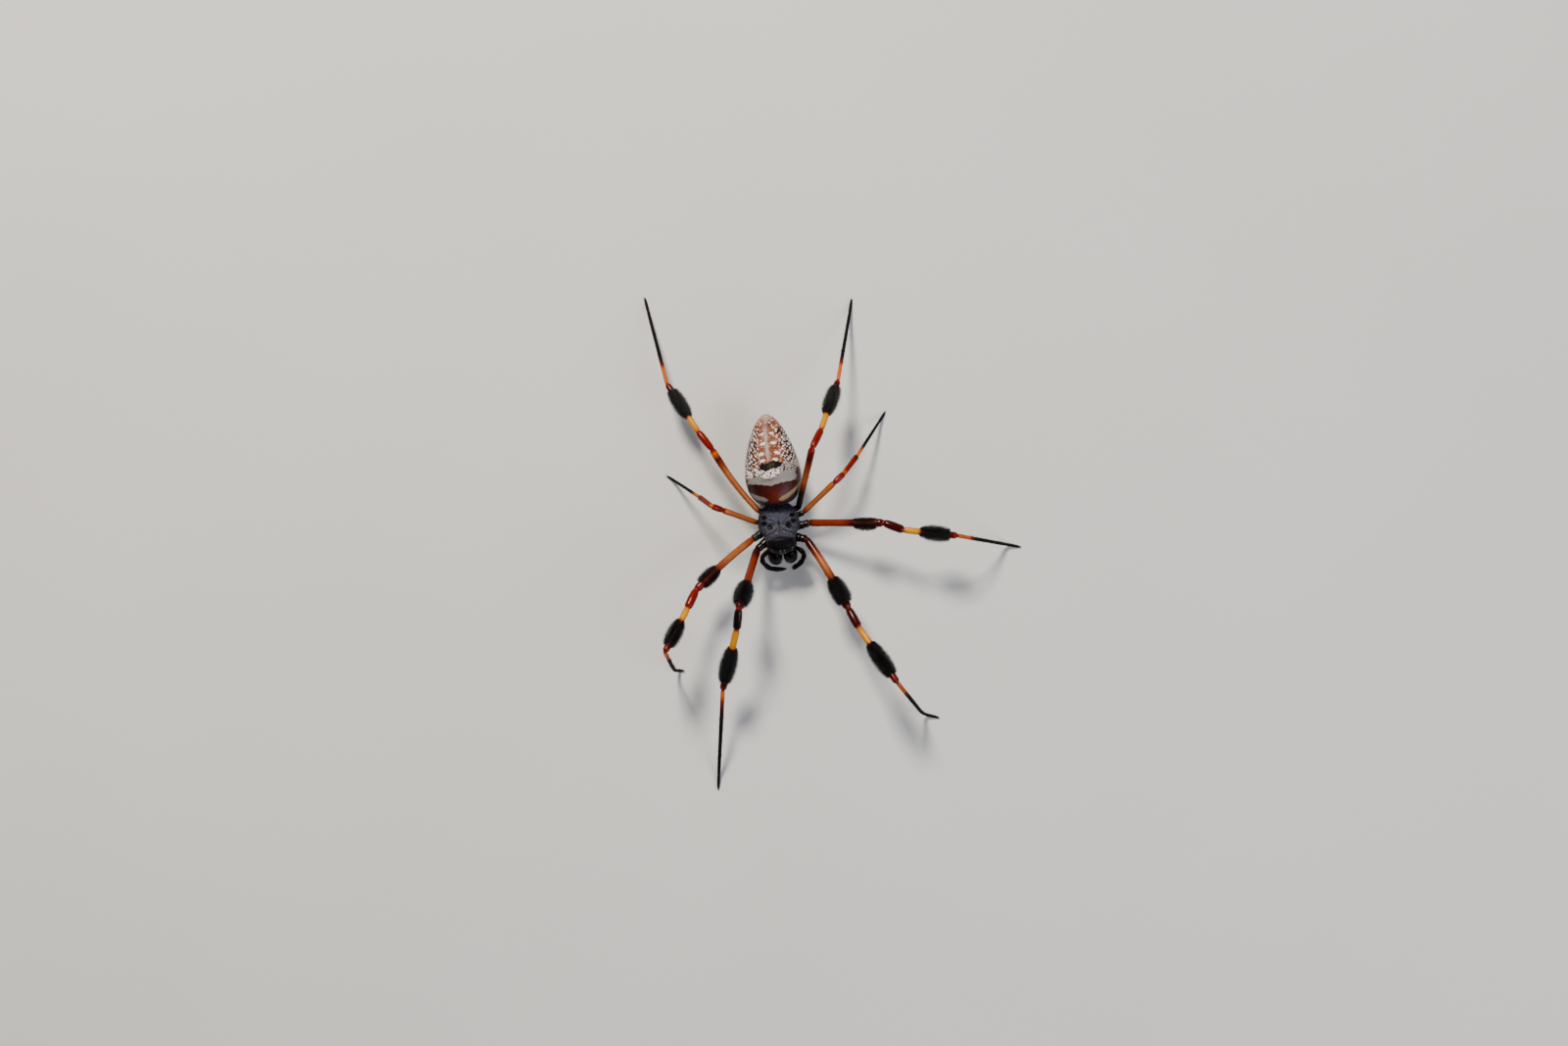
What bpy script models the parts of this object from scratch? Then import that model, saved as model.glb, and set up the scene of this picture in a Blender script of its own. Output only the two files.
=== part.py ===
"""Golden silk orb weaver, an adult female at life size.

She stands on the tips of her eight legs, head towards -Y and back up, on the plane Z = 0.
Sizes below are in millimetres and angles in degrees; the meshes come out in metres.
"""

import math
import random

import bmesh
import bpy
from mathutils import Matrix, Vector

MM = 0.001

# The thin cut between one part and the next, and the thinner one round an eye
JOINT_GAP = 0.15
EYE_GAP = 0.08

# Head and thorax, measured from the middle of the thorax
SHIELD_HALF_WIDTH = 4.1
SHIELD_REAR_Y = 4.7
HEAD_FRONT_Y = -5.95
HEAD_HALF_WIDTH = 3.05
RIM_Z = 6.75
THORAX_TOP_Z = 8.7
HEAD_TOP_Z = 10.5
BELLY_Z = 5.15

# Abdomen
ABDOMEN_FRONT_Y = 3.9
ABDOMEN_LENGTH = 17.9
ABDOMEN_HALF_WIDTH = 5.5
ABDOMEN_ABOVE = 4.3
ABDOMEN_BELOW = 4.6

# Legs, numbered from the front pair: lengths of femur, patella, tibia, metatarsus and tarsus
LEG_LENGTHS = {
    1: (16.5, 4.4, 14.1, 18.5, 3.2),
    2: (15.6, 4.1, 10.6, 15.1, 3.1),
    3: (9.0, 2.8, 5.1, 9.7, 2.4),
    4: (15.8, 4.4, 11.8, 15.5, 3.1),
}
# Radii of coxa, femur, patella, tibia, the metatarsus at its root and the tarsus
LEG_RADII = {
    1: (0.86, 0.82, 0.84, 0.70, 0.42, 0.30),
    2: (0.82, 0.76, 0.84, 0.66, 0.40, 0.30),
    3: (0.60, 0.56, 0.62, 0.54, 0.33, 0.27),
    4: (0.68, 0.64, 0.71, 0.61, 0.38, 0.29),
}
SEGMENTS = ("coxa", "femur", "patella", "tibia", "foot")
HIP_Z = 5.7
TROCHANTER_Z = 6.3
# Where each coxa leaves the body, right of the midline and behind the middle of the thorax
HIP_PLACES = {1: (2.3, -2.6), 2: (2.7, -0.85), 3: (2.5, 0.9), 4: (1.8, 2.5)}
# The pose: the place where the femur starts, the heading of each segment in plan from femur to
# tarsus, and the rise of femur, patella, tibia and tarsus. The metatarsus drops to the floor.
LEG_POSES = {
    (1, "left"): ((5.0, -3.5), (-66, -68, -62, -58, -20), (15, 19, 22, -12)),
    (1, "right"): ((-4.9, -4.4), (-114, -103, -110, -100, -99), (43, -26, -29, -12)),
    (2, "left"): ((6.0, -0.4), (-7, -27, -13, -17, -17), (21, 3, 1, -12)),
    (2, "right"): ((-5.6, -2.3), (-145, -122, -124, -75, -10), (18, 21, 26, -56)),
    (3, "left"): ((5.1, 1.8), (37, 37, 46, 50, 51), (23, -14, -32, -21)),
    (3, "right"): ((-4.3, 0.9), (153, 153, 137, 140, 141), (38, 36, -53, -33)),
    (4, "left"): ((4.15, 2.75), (70, 57, 64, 73, 75), (40, -27, -29, -12)),
    (4, "right"): ((-3.65, 3.1), (120, 122, 116, 98, 97), (15, -12, -17, -15)),
}
# Swelling of each segment along its length: (share of the length, share of the radius)
SWELLINGS = {
    "femur": ((0.0, 0.72), (0.07, 0.96), (0.3, 0.94), (0.6, 1.0), (0.86, 1.14), (0.95, 1.1), (1.0, 0.8)),
    "patella": ((0.0, 0.70), (0.2, 0.98), (0.5, 1.06), (0.8, 0.94), (1.0, 0.70)),
    "tibia": ((0.0, 0.76), (0.1, 1.0), (0.3, 0.98), (0.6, 1.02), (0.9, 1.06), (0.96, 0.98), (1.0, 0.72)),
}
BOW = {"femur": 0.03, "patella": 0.02, "tibia": 0.015, "metatarsus": 0.03}
# Segments that also bend sideways, by this share of their length, to the left of their heading
SWAYS = {("femur", 1, "left"): 0.02, ("femur", 2, "right"): -0.02, ("femur", 4, "right"): 0.03}
LEG_SIDES = 8
FOOT_SIDES = 8
PAD_LENGTH = 0.8
PAD_CENTRE_Z = 0.2

# The black brushes: share of the segment where each starts and ends, the radius at its tips,
# the rows of locks along it and the locks in a row
BRUSHES = {
    ("femur", 1): (0.60, 0.94, 2.00, 4, 7),
    ("femur", 2): (0.62, 0.92, 1.60, 3, 7),
    ("tibia", 1): (0.31, 0.88, 1.92, 6, 6),
    ("tibia", 2): (0.31, 0.88, 1.75, 5, 6),
    ("tibia", 4): (0.31, 0.88, 1.68, 5, 6),
}
# How far the core under the locks swells towards their tips, and how they stand
CORE_SHARE = 0.34
LOCK_LEAN = 30
LOCK_WIDTH = 1.25
LOCK_THICKNESS = 0.55
LOCK_BEND = 0.22
SEED = 11

# Eyes: bearing from straight ahead and height, as seen from the middle of the head, and radius
HEAD_MIDDLE = (0.0, -4.0, 8.4)
EYES = {
    "front_middle": (15, 22, 0.25),
    "rear_middle": (20, 50, 0.25),
    "front_side": (58, 16, 0.25),
    "rear_side": (70, 30, 0.25),
}
EYE_DEPTH = 0.08
# The pair of small horns at the back of the head: distance from the midline, Y and height
HORN = (0.80, -1.55, 0.30)

COLOURS = {
    "shield": (0.115, 0.118, 0.135),
    "head": (0.012, 0.011, 0.012),
    "abdomen": (0.245, 0.075, 0.030),
    "amber": (0.52, 0.16, 0.03),
    "dark_red": (0.16, 0.018, 0.008),
    "brush": (0.010, 0.009, 0.010),
    "foot": (0.030, 0.020, 0.016),
    "eye": (0.004, 0.004, 0.005),
    "sternum": (0.10, 0.055, 0.020),
}
NODE_FINISH = {
    "coxa": "head",
    "femur": "amber",
    "patella": "dark_red",
    "tibia": "brush",
    "foot": "foot",
}


def clear_scene():
    for old in list(bpy.data.objects):
        bpy.data.objects.remove(old)


def material(name, roughness=0.35):
    """One Principled material for each finish, shared by the parts that have it."""
    if name in bpy.data.materials:
        return bpy.data.materials[name]
    made = bpy.data.materials.new(name)
    made.use_nodes = True
    shader = made.node_tree.nodes["Principled BSDF"]
    shader.inputs["Base Color"].default_value = (*COLOURS[name], 1.0)
    shader.inputs["Roughness"].default_value = roughness
    shader.inputs["Metallic"].default_value = 0.0
    return made


def add_object(name, bm, origin, finish, parent):
    """Makes the object from a bmesh in millimetres, with its own origin at a point of the body."""
    bmesh.ops.recalc_face_normals(bm, faces=bm.faces[:])
    bmesh.ops.translate(bm, verts=bm.verts[:], vec=-Vector(origin))
    bmesh.ops.scale(bm, verts=bm.verts[:], vec=Vector((MM, MM, MM)))
    mesh = bpy.data.meshes.new(name)
    bm.to_mesh(mesh)
    bm.free()
    mesh.materials.append(material(finish))
    mesh.shade_smooth()
    mesh.set_sharp_from_angle(angle=math.radians(50))
    made = bpy.data.objects.new(name, mesh)
    made.location = Vector(origin) * MM
    made.parent = parent
    bpy.context.scene.collection.objects.link(made)
    return made


def ring(bm, centre, along, half_width, half_height, sides):
    """An oval ring of edges across the direction along, with its first point on the level side."""
    along = Vector(along).normalized()
    side = along.cross(Vector((0, 0, 1))).normalized()
    up = side.cross(along)
    turned = Matrix((side * half_width, up * half_height, along)).transposed().to_4x4()
    place = Matrix.Translation(centre) @ turned
    made = bmesh.ops.create_circle(bm, segments=sides, radius=1.0, matrix=place)["verts"]
    return sorted({edge for vert in made for edge in vert.link_edges}, key=lambda edge: edge.index)


def skin_over(bm, rings):
    """Joins rings of edges into one closed tube."""
    for first, second in zip(rings, rings[1:]):
        bmesh.ops.bridge_loops(bm, edges=first + second)
    for end in (rings[0], rings[-1]):
        bmesh.ops.contextual_create(bm, geom=end)
    bmesh.ops.triangulate(bm, faces=[face for face in bm.faces if len(face.verts) > 4])


def heading(plan_angle, rise):
    plan_angle, rise = math.radians(plan_angle), math.radians(rise)
    return Vector(
        (math.cos(rise) * math.cos(plan_angle), math.cos(rise) * math.sin(plan_angle), math.sin(rise))
    )


def bowed(start, end, bow, sway=0.0):
    """A function from share of the length to the point on a shallow arch from start to end."""
    run = end - start
    side = run.cross(Vector((0, 0, 1))).normalized()
    lift = (side.cross(run).normalized() * bow - side * sway) * run.length
    return lambda share: start.lerp(end, share) + lift * 4 * share * (1 - share)


def leg_joints(number, side):
    """The joints of one leg from the femur's root to the tip, and the direction of each segment."""
    (x, y), plan_angles, rises = LEG_POSES[number, side]
    lengths = LEG_LENGTHS[number]
    tip_z = PAD_CENTRE_Z
    joints = [Vector((x, y, TROCHANTER_Z))]
    for length, plan_angle, rise in zip(lengths[:3], plan_angles[:3], rises[:3]):
        joints.append(joints[-1] + heading(plan_angle, rise) * length)
    ankle_z = tip_z - lengths[4] * math.sin(math.radians(rises[3]))
    drop = math.degrees(math.asin((ankle_z - joints[-1].z) / lengths[3]))
    joints.append(joints[-1] + heading(plan_angles[3], drop) * lengths[3])
    joints.append(joints[-1] + heading(plan_angles[4], rises[3]) * lengths[4])
    return joints


def across_joint(before, joint, after):
    """The direction halfway through the bend at a joint."""
    return ((joint - before).normalized() + (after - joint).normalized()).normalized()


def segment_rings(bm, path, shares, radii, start_normal, end_normal, sides):
    """Rings along a path, the first and last lying in the planes of the joints at its ends."""
    rings = []
    for share, radius in zip(shares, radii):
        step = 0.02
        ahead = path(min(share + step, 1.0)) - path(max(share - step, 0.0))
        if share == shares[0]:
            ahead = start_normal
        elif share == shares[-1]:
            ahead = end_normal
        rings.append(ring(bm, path(share), ahead, radius, radius, sides))
    return rings


def brush_radius(brush, share, radius):
    """The radius out to the tips of a brush, a spindle that rises fast at its root."""
    start, end, tip_radius = brush[:3]
    along = min(1.0, max(0.0, (share - start) / (end - start)))
    return radius + (tip_radius - radius) * math.sin(math.pi * along**0.85) ** 0.42


def segment_path(kind, number, side, before, start, end, after):
    """The arched middle line of a segment and the planes of the joints at its two ends."""
    root_normal = across_joint(before, start, end)
    tip_normal = across_joint(start, end, after)
    path = bowed(
        start + root_normal * JOINT_GAP / 2,
        end - tip_normal * JOINT_GAP / 2,
        BOW[kind],
        SWAYS.get((kind, number, side), 0.0),
    )
    return path, root_normal, tip_normal


def leg_segment(kind, number, side, joints):
    """A femur, patella or tibia between two joints, cut short by half a gap at each."""
    path, root_normal, tip_normal = segment_path(kind, number, side, *joints)
    full = LEG_RADII[number][SEGMENTS.index(kind)]
    swellings = dict(SWELLINGS[kind])
    brush = BRUSHES.get((kind, number))
    if brush:
        first, last = brush[:2]
        outside = {at: size for at, size in swellings.items() if not first < at < last}
        inside = {first + (last - first) * step: 1.0 for step in (0.0, 0.12, 0.5, 0.88, 1.0)}
        swellings = outside | inside
    shares = sorted(swellings)
    radii = [full * swellings[share] for share in shares]
    if brush:
        for index, share in enumerate(shares):
            tip = brush_radius(brush, share, radii[index])
            radii[index] += (tip - radii[index]) * CORE_SHARE
    bm = bmesh.new()
    skin_over(bm, segment_rings(bm, path, shares, radii, root_normal, tip_normal, LEG_SIDES))
    return bm


def lock(root, outward, along, length, width, twist):
    """One flat, tapered lock of bristles, with a ridge on its back, that bends over on its way out."""
    bm = bmesh.new()
    lean = math.radians(LOCK_LEAN)
    ahead = outward * math.cos(lean) + along * math.sin(lean)
    across = Matrix.Rotation(twist, 3, ahead) @ along.cross(outward).normalized()
    ridge = ahead.cross(across).normalized()
    if ridge.dot(along) > 0:
        ridge.negate()
    rings = []
    for share, wide, thick in ((0.0, 0.85, 1.0), (0.55, 1.0, 0.8)):
        centre = root + ahead * length * share + along * length * LOCK_BEND * share**2
        corners = [
            bm.verts.new(centre + across * width * wide * x + ridge * LOCK_THICKNESS * thick * y)
            for x, y in ((-0.5, -0.4), (0.5, -0.4), (0.0, 0.6))
        ]
        rings.append(corners)
    tip = bm.verts.new(root + ahead * length + along * length * LOCK_BEND)
    bm.faces.new(rings[0])
    for index in range(3):
        low, high = rings[0][index - 1], rings[0][index]
        up_low, up_high = rings[1][index - 1], rings[1][index]
        bm.faces.new((low, high, up_high, up_low))
        bm.faces.new((up_low, up_high, tip))
    bmesh.ops.recalc_face_normals(bm, faces=bm.faces[:])
    return bm


def brush_locks(kind, number, side, joints, draw):
    """The locks of one brush, in staggered rows round its segment."""
    path = segment_path(kind, number, side, *joints)[0]
    radius = LEG_RADII[number][SEGMENTS.index(kind)]
    brush = BRUSHES[kind, number]
    start, end, _, rows, in_row = brush
    for row in range(rows):
        for index in range(in_row):
            share = start + (end - start) * (row + 0.35 + draw.uniform(-0.2, 0.2)) / rows
            along = (path(share + 0.02) - path(share - 0.02)).normalized()
            level = along.cross(Vector((0, 0, 1))).normalized()
            turn = 2 * math.pi * (index + row % 2 / 2 + draw.uniform(-0.16, 0.16)) / in_row
            outward = level * math.cos(turn) + level.cross(along) * math.sin(turn)
            reach_share = min(end, share + 0.05)
            reach = brush_radius(brush, reach_share, radius) * draw.uniform(0.93, 1.04)
            depth = radius * 0.55
            length = (reach - depth) / math.cos(math.radians(LOCK_LEAN))
            width = LOCK_WIDTH * draw.uniform(0.85, 1.15)
            root = path(share) + outward * depth
            yield lock(root, outward, along, length, width, draw.uniform(-0.3, 0.3))


def rounded(start, corner, end, share):
    """A point on the curve from start to end that the lines through the corner touch."""
    return start.lerp(corner, share).lerp(corner.lerp(end, share), share)


def foot(number, before, start, ankle, tip):
    """Metatarsus and tarsus in one tapering length, ending in a small flat on the floor."""
    root_normal = across_joint(before, start, ankle)
    path = bowed(start + root_normal * JOINT_GAP / 2, ankle, BOW["metatarsus"])
    *_, root, end = LEG_RADII[number]
    bm = bmesh.new()
    shares = (0.0, 0.05, 0.3, 0.6, 0.84)
    radii = [root * 0.9, root, root * 0.92, root * 0.84, end * 1.12]
    rings = segment_rings(bm, path, shares, radii, root_normal, ankle - start, FOOT_SIDES)
    level = Vector((tip.x - ankle.x, tip.y - ankle.y, 0)).normalized()
    pad_start = tip - level * PAD_LENGTH
    knuckle = path(0.84)
    instep = ankle.lerp(pad_start, 0.5)
    for share in (0.35, 0.7, 1.0):
        centre = rounded(knuckle, ankle, instep, share)
        ahead = centre - rounded(knuckle, ankle, instep, share - 0.1)
        rings.append(ring(bm, centre, ahead, end * 1.05, end * 1.05, FOOT_SIDES))
    for centre, along, radius in (
        (pad_start, level + (tip - ankle).normalized(), end),
        (tip - level * 0.15, level, end * 0.95),
        (tip, level, end * 0.6),
    ):
        rings.append(ring(bm, centre, along, radius, radius, FOOT_SIDES))
    skin_over(bm, rings)
    bmesh.ops.recalc_face_normals(bm, faces=bm.faces[:])
    levelled = bmesh.ops.bisect_plane(
        bm,
        geom=bm.verts[:] + bm.edges[:] + bm.faces[:],
        plane_co=(0, 0, 0),
        plane_no=(0, 0, -1),
        clear_outer=True,
    )
    edges = [piece for piece in levelled["geom_cut"] if isinstance(piece, bmesh.types.BMEdge)]
    bmesh.ops.contextual_create(bm, geom=edges)
    bmesh.ops.triangulate(bm, faces=[face for face in bm.faces if len(face.verts) > 4])
    return bm


def coxa(number, side, joints):
    """Coxa and trochanter, from inside the body to the femur. The body is cut away from it later."""
    mirror = 1 if side == "left" else -1
    x, y = HIP_PLACES[number]
    hip = Vector((x * mirror, y, HIP_Z))
    normal = across_joint(hip, joints[0], joints[1])
    end = joints[0] - normal * JOINT_GAP / 2
    path = bowed(hip, end, 0.03)
    full, femur_radius = LEG_RADII[number][:2]
    shares = (0.0, 0.35, 0.55, 0.68, 0.86, 1.0)
    radii = [full * 0.95, full, full * 0.96, full * 0.84, femur_radius * 0.95, femur_radius * 0.72]
    bm = bmesh.new()
    skin_over(bm, segment_rings(bm, path, shares, radii, end - hip, normal, LEG_SIDES))
    return bm


def add_leg(number, side, root):
    joints = leg_joints(number, side)
    name = f"leg_{number}_{side}"
    holder = bpy.data.objects.new(name, None)
    holder.parent = root
    bpy.context.scene.collection.objects.link(holder)
    mirror = 1 if side == "left" else -1
    hip = Vector((HIP_PLACES[number][0] * mirror, HIP_PLACES[number][1], HIP_Z))
    points = [hip, *joints]
    made = [add_object(f"{name}_coxa", coxa(number, side, joints), hip, NODE_FINISH["coxa"], holder)]
    draw = random.Random(SEED + number * 2 + (side == "left"))
    for index, kind in enumerate(SEGMENTS[1:4]):
        around = points[index : index + 4]
        bm = leg_segment(kind, number, side, around)
        node = add_object(f"{name}_{kind}", bm, around[1], NODE_FINISH[kind], holder)
        if (kind, number) in BRUSHES:
            fuse(node, brush_locks(kind, number, side, around, draw))
        made.append(node)
    bm = foot(number, *points[3:])
    made.append(add_object(f"{name}_foot", bm, points[4], NODE_FINISH["foot"], holder))
    return made


def smooth_step(low, high, value):
    share = min(1.0, max(0.0, (value - low) / (high - low)))
    return share * share * (3 - 2 * share)


def shield_section(y):
    """Half width, top and bottom of the head and thorax at Y."""
    rear = max(0.0, 1 - (max(y, 0.0) / SHIELD_REAR_Y) ** 2.6) ** 0.55
    thorax = SHIELD_HALF_WIDTH * rear
    front = max(0.0, 1 - (max(-y - 3.6, 0.0) / (-3.6 - HEAD_FRONT_Y)) ** 2.4) ** 0.5
    head = HEAD_HALF_WIDTH * front
    headward = smooth_step(0.4, 2.7, -y)
    half_width = thorax * (1 - headward) + head * headward
    top = THORAX_TOP_Z - 1.2 * (max(y, 0.0) / SHIELD_REAR_Y) ** 2
    rise = smooth_step(0.6, 3.2, -y)
    top += (HEAD_TOP_Z - THORAX_TOP_Z) * rise
    top -= 1.9 * (max(-y - 3.9, 0.0) / (-3.9 - HEAD_FRONT_Y)) ** 2.2
    top -= 0.25 * math.exp(-((y - 0.2) ** 2) / 0.5)
    bottom = BELLY_Z + 0.5 * (max(y, 0.0) / SHIELD_REAR_Y) ** 2 + 1.2 * smooth_step(2.6, 4.2, -y)
    return half_width, top, bottom


def cephalothorax():
    """Carapace with its raised head, and the body under it that the legs leave from."""
    bm = bmesh.new()
    stations = (4.62, 4.2, 3.4, 2.3, 1.1, 0.1, -0.9, -1.9, -2.9, -3.9, -4.8, -5.4, -5.75, -5.92)
    sides = 22
    rings = []
    for y in stations:
        half_width, top, bottom = shield_section(y)
        made = ring(bm, (0, y, RIM_Z), (0, -1, 0), half_width, 1.0, sides)
        boxy = 0.85 - 0.2 * smooth_step(1.5, 3.5, -y)
        for vert in {vert for edge in made for vert in edge.verts}:
            level = vert.co.z - RIM_Z
            share = vert.co.x / max(half_width, 1e-6)
            if level > 0:
                vert.co.z = RIM_Z + (top - RIM_Z) * level**boxy
                vert.co.x = math.copysign(abs(share) ** boxy, share) * half_width
            else:
                vert.co.z = RIM_Z + (RIM_Z - bottom) * level
                vert.co.x = share * half_width * (1 + 0.30 * level)
        rings.append(made)
    skin_over(bm, rings)
    return bm


def horns():
    """The pair of low, blunt horns where the head meets the thorax."""
    x, y, height = HORN
    top = shield_section(y)[1]
    for mirror in (1, -1):
        root = (x * mirror, y, top - 0.9)
        tip = (x * 1.05 * mirror, y - 0.05, top + height * 0.62)
        yield cone(root, tip, 0.42, 0.12, 8)


def sternum():
    """The heart-shaped plate between the coxae underneath, with the lip in front of it."""
    bm = bmesh.new()
    heart = ((2.9, 0.5), (2.2, 1.15), (1.0, 1.75), (-0.4, 2.05), (-1.8, 1.9), (-2.7, 1.35))
    lip = ((-3.0, 0.95), (-3.6, 0.85), (-4.1, 0.5))
    rings = []
    for y, half_width in heart + lip:
        made = ring(bm, (0, y, BELLY_Z - JOINT_GAP - 0.28), (0, -1, 0), half_width, 0.28, 12)
        rings.append(made)
    skin_over(bm, rings)
    return bm


def abdomen_section(share):
    """Half width, height of the middle and relative size, from the tail (0) to the front (1)."""
    size = max(0.0, math.sin(math.pi * share**1.8)) ** 0.29
    middle = 7.55 + 1.5 * (1 - share) ** 3 + 1.15 * share**6
    return ABDOMEN_HALF_WIDTH * size, middle, size


def abdomen():
    bm = bmesh.new()
    sides = 26
    shares = (0.004, 0.035, 0.09, 0.17, 0.28, 0.41, 0.54, 0.67, 0.78, 0.87, 0.935, 0.978, 0.998)
    rings = []
    for share in shares:
        half_width, middle, size = abdomen_section(share)
        y = ABDOMEN_FRONT_Y + ABDOMEN_LENGTH * (1 - share)
        made = ring(bm, (0, y, middle), (0, -1, 0), half_width, size, sides)
        for vert in {vert for edge in made for vert in edge.verts}:
            level = vert.co.z - middle
            vert.co.z = middle + level * (ABDOMEN_ABOVE if level > 0 else ABDOMEN_BELOW)
        rings.append(made)
    skin_over(bm, rings)
    return bm


def chelicera(mirror):
    """One stout upper jaw, hanging forward and down from the front of the head."""
    bm = bmesh.new()
    places = (
        ((1.30, -4.70, 7.60), (0.80, 0.75)),
        ((1.45, -5.65, 7.25), (1.25, 1.20)),
        ((1.45, -6.25, 6.35), (1.30, 1.35)),
        ((1.40, -6.60, 5.20), (1.20, 1.20)),
        ((1.32, -6.80, 4.20), (1.02, 1.00)),
        ((1.22, -6.90, 3.55), (0.75, 0.75)),
    )
    rings = []
    for index, ((x, y, z), (half_width, half_depth)) in enumerate(places):
        low, high = places[max(index - 1, 0)][0], places[min(index + 1, len(places) - 1)][0]
        along = Vector(high) - Vector(low)
        along.x = 0
        rings.append(ring(bm, (x * mirror, y, z), along, half_width, half_depth, 14))
    skin_over(bm, rings)
    return bm


def fang(mirror):
    """The curved fang at the end of the jaw, folded inwards and back."""
    bm = bmesh.new()
    places = (
        ((1.30, -6.92, 3.38), 0.34),
        ((1.22, -6.95, 2.95), 0.32),
        ((0.95, -6.80, 2.60), 0.26),
        ((0.60, -6.45, 2.50), 0.16),
        ((0.35, -6.10, 2.60), 0.05),
    )
    rings = []
    for index, (place, radius) in enumerate(places):
        low, high = places[max(index - 1, 0)][0], places[min(index + 1, len(places) - 1)][0]
        along = Vector(high) - Vector(low)
        along.x *= mirror
        rings.append(ring(bm, (place[0] * mirror, *place[1:]), along, radius, radius, 8))
    skin_over(bm, rings)
    return bm


def palp(mirror):
    """The short feeler beside the mouth, bent round in front of the jaws."""
    reach = 0.0 if mirror > 0 else 1.0
    places = (
        ((1.55, -4.20, 5.05), 0.55),
        ((2.30, -4.75, 5.40), 0.52),
        ((3.10, -5.20, 6.00), 0.42),
        ((3.85, -5.75, 6.40), 0.46),
        ((4.15, -6.55, 6.35), 0.48),
        ((3.75, -7.45, 5.95), 0.46),
        ((3.05, -8.20, 5.40), 0.47),
        ((2.15 - reach * 0.55, -8.65, 4.90), 0.46),
        ((1.75 - reach * 1.35, -8.80, 4.60), 0.36),
        ((1.55 - reach * 1.95, -8.82, 4.45), 0.14),
    )
    bm = bmesh.new()
    rings = []
    for index, (place, radius) in enumerate(places):
        low, high = places[max(index - 1, 0)][0], places[min(index + 1, len(places) - 1)][0]
        along = Vector(high) - Vector(low)
        along.x *= mirror
        rings.append(ring(bm, (place[0] * mirror, *place[1:]), along, radius, radius, 8))
    skin_over(bm, rings)
    return bm


def cone(root, tip, root_radius, tip_radius, sides):
    """A tapered peg from root to tip, with both ends closed."""
    bm = bmesh.new()
    run = Vector(tip) - Vector(root)
    turned = run.to_track_quat("Z", "Y").to_matrix().to_4x4()
    place = Matrix.Translation((Vector(root) + Vector(tip)) / 2) @ turned
    bmesh.ops.create_cone(
        bm,
        cap_ends=True,
        segments=sides,
        radius1=root_radius,
        radius2=tip_radius,
        depth=run.length,
        matrix=place,
    )
    return bm


def spinnerets():
    """The raised ring under the tail that the silk spinnerets stand on."""
    return cone((0, 18.9, 6.6), (0, 19.45, 5.25), 1.45, 1.15, 14)


def spinneret_pegs():
    """The front, middle and rear pairs of spinnerets, leaning together."""
    for mirror in (1, -1):
        yield cone((0.55 * mirror, 18.95, 5.7), (0.30 * mirror, 19.35, 4.15), 0.55, 0.28, 8)
        yield cone((0.60 * mirror, 19.75, 5.8), (0.35 * mirror, 20.30, 4.45), 0.50, 0.26, 8)


def eye(place, radius):
    bm = bmesh.new()
    bmesh.ops.create_uvsphere(
        bm, u_segments=8, v_segments=6, radius=radius, matrix=Matrix.Translation(place)
    )
    return bm


def eye_spot(body, bearing, height, mirror):
    """The place of an eye, sunk a little into the surface of the head."""
    middle = Vector(HEAD_MIDDLE)
    outward = heading(-90 + bearing * mirror, height)
    start = (middle + outward * 10 - Vector((0, 0, RIM_Z))) * MM
    _, hit, normal, _ = body.ray_cast(start, -outward)
    return (hit / MM) + Vector((0, 0, RIM_Z)) - normal * EYE_DEPTH


def inflated(source, amount, name):
    """A hidden copy of an object, grown along its normals, to cut its neighbours clear of it."""
    grown = source.copy()
    grown.data = source.data.copy()
    grown.name = name
    for vert in grown.data.vertices:
        vert.co += vert.normal * amount * MM
    grown.hide_render = True
    grown.display_type = "WIRE"
    bpy.context.scene.collection.objects.link(grown)
    return grown


def cut(target, cutter):
    """Cuts the cutter from the target at once, and keeps the largest piece that is left."""
    modifier = target.modifiers.new("cut", "BOOLEAN")
    modifier.operation = "DIFFERENCE"
    modifier.object = cutter
    apply_all(target)


def fuse(target, pieces):
    """Joins closed pieces, in millimetres of the body, to an object in one union."""
    holder = bpy.data.collections.new("pieces")
    bpy.context.scene.collection.children.link(holder)
    made = []
    for bm in pieces:
        bmesh.ops.scale(bm, verts=bm.verts[:], vec=Vector((MM, MM, MM)))
        mesh = bpy.data.meshes.new("piece")
        bm.to_mesh(mesh)
        bm.free()
        made.append(bpy.data.objects.new("piece", mesh))
        holder.objects.link(made[-1])
    modifier = target.modifiers.new("union", "BOOLEAN")
    modifier.operation = "UNION"
    modifier.operand_type = "COLLECTION"
    modifier.solver = "MANIFOLD"
    modifier.collection = holder
    apply_all(target)
    for piece in made:
        bpy.data.objects.remove(piece)
    bpy.data.collections.remove(holder)


def apply_all(target):
    """Puts the result of an object's modifiers in its mesh, and keeps the largest piece."""
    bpy.context.view_layer.update()
    graph = bpy.context.evaluated_depsgraph_get()
    result = bpy.data.meshes.new_from_object(target.evaluated_get(graph))
    target.modifiers.clear()
    target.data = result
    keep_largest(target)


def keep_largest(target):
    """Keeps only the largest closed surface of an object."""
    bm = bmesh.new()
    bm.from_mesh(target.data)
    left = set(bm.faces)
    bodies = []
    while left:
        body = {left.pop()}
        edge_of_it = set(body)
        while edge_of_it:
            near = {f for face in edge_of_it for edge in face.edges for f in edge.link_faces}
            edge_of_it = near & left
            left -= edge_of_it
            body |= edge_of_it
        bodies.append(body)
    largest = max(bodies, key=lambda faces: sum(face.calc_area() for face in faces))
    loose = [face for body in bodies if body is not largest for face in body]
    bmesh.ops.delete(bm, geom=loose, context="FACES")
    bm.to_mesh(target.data)
    bm.free()


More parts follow.
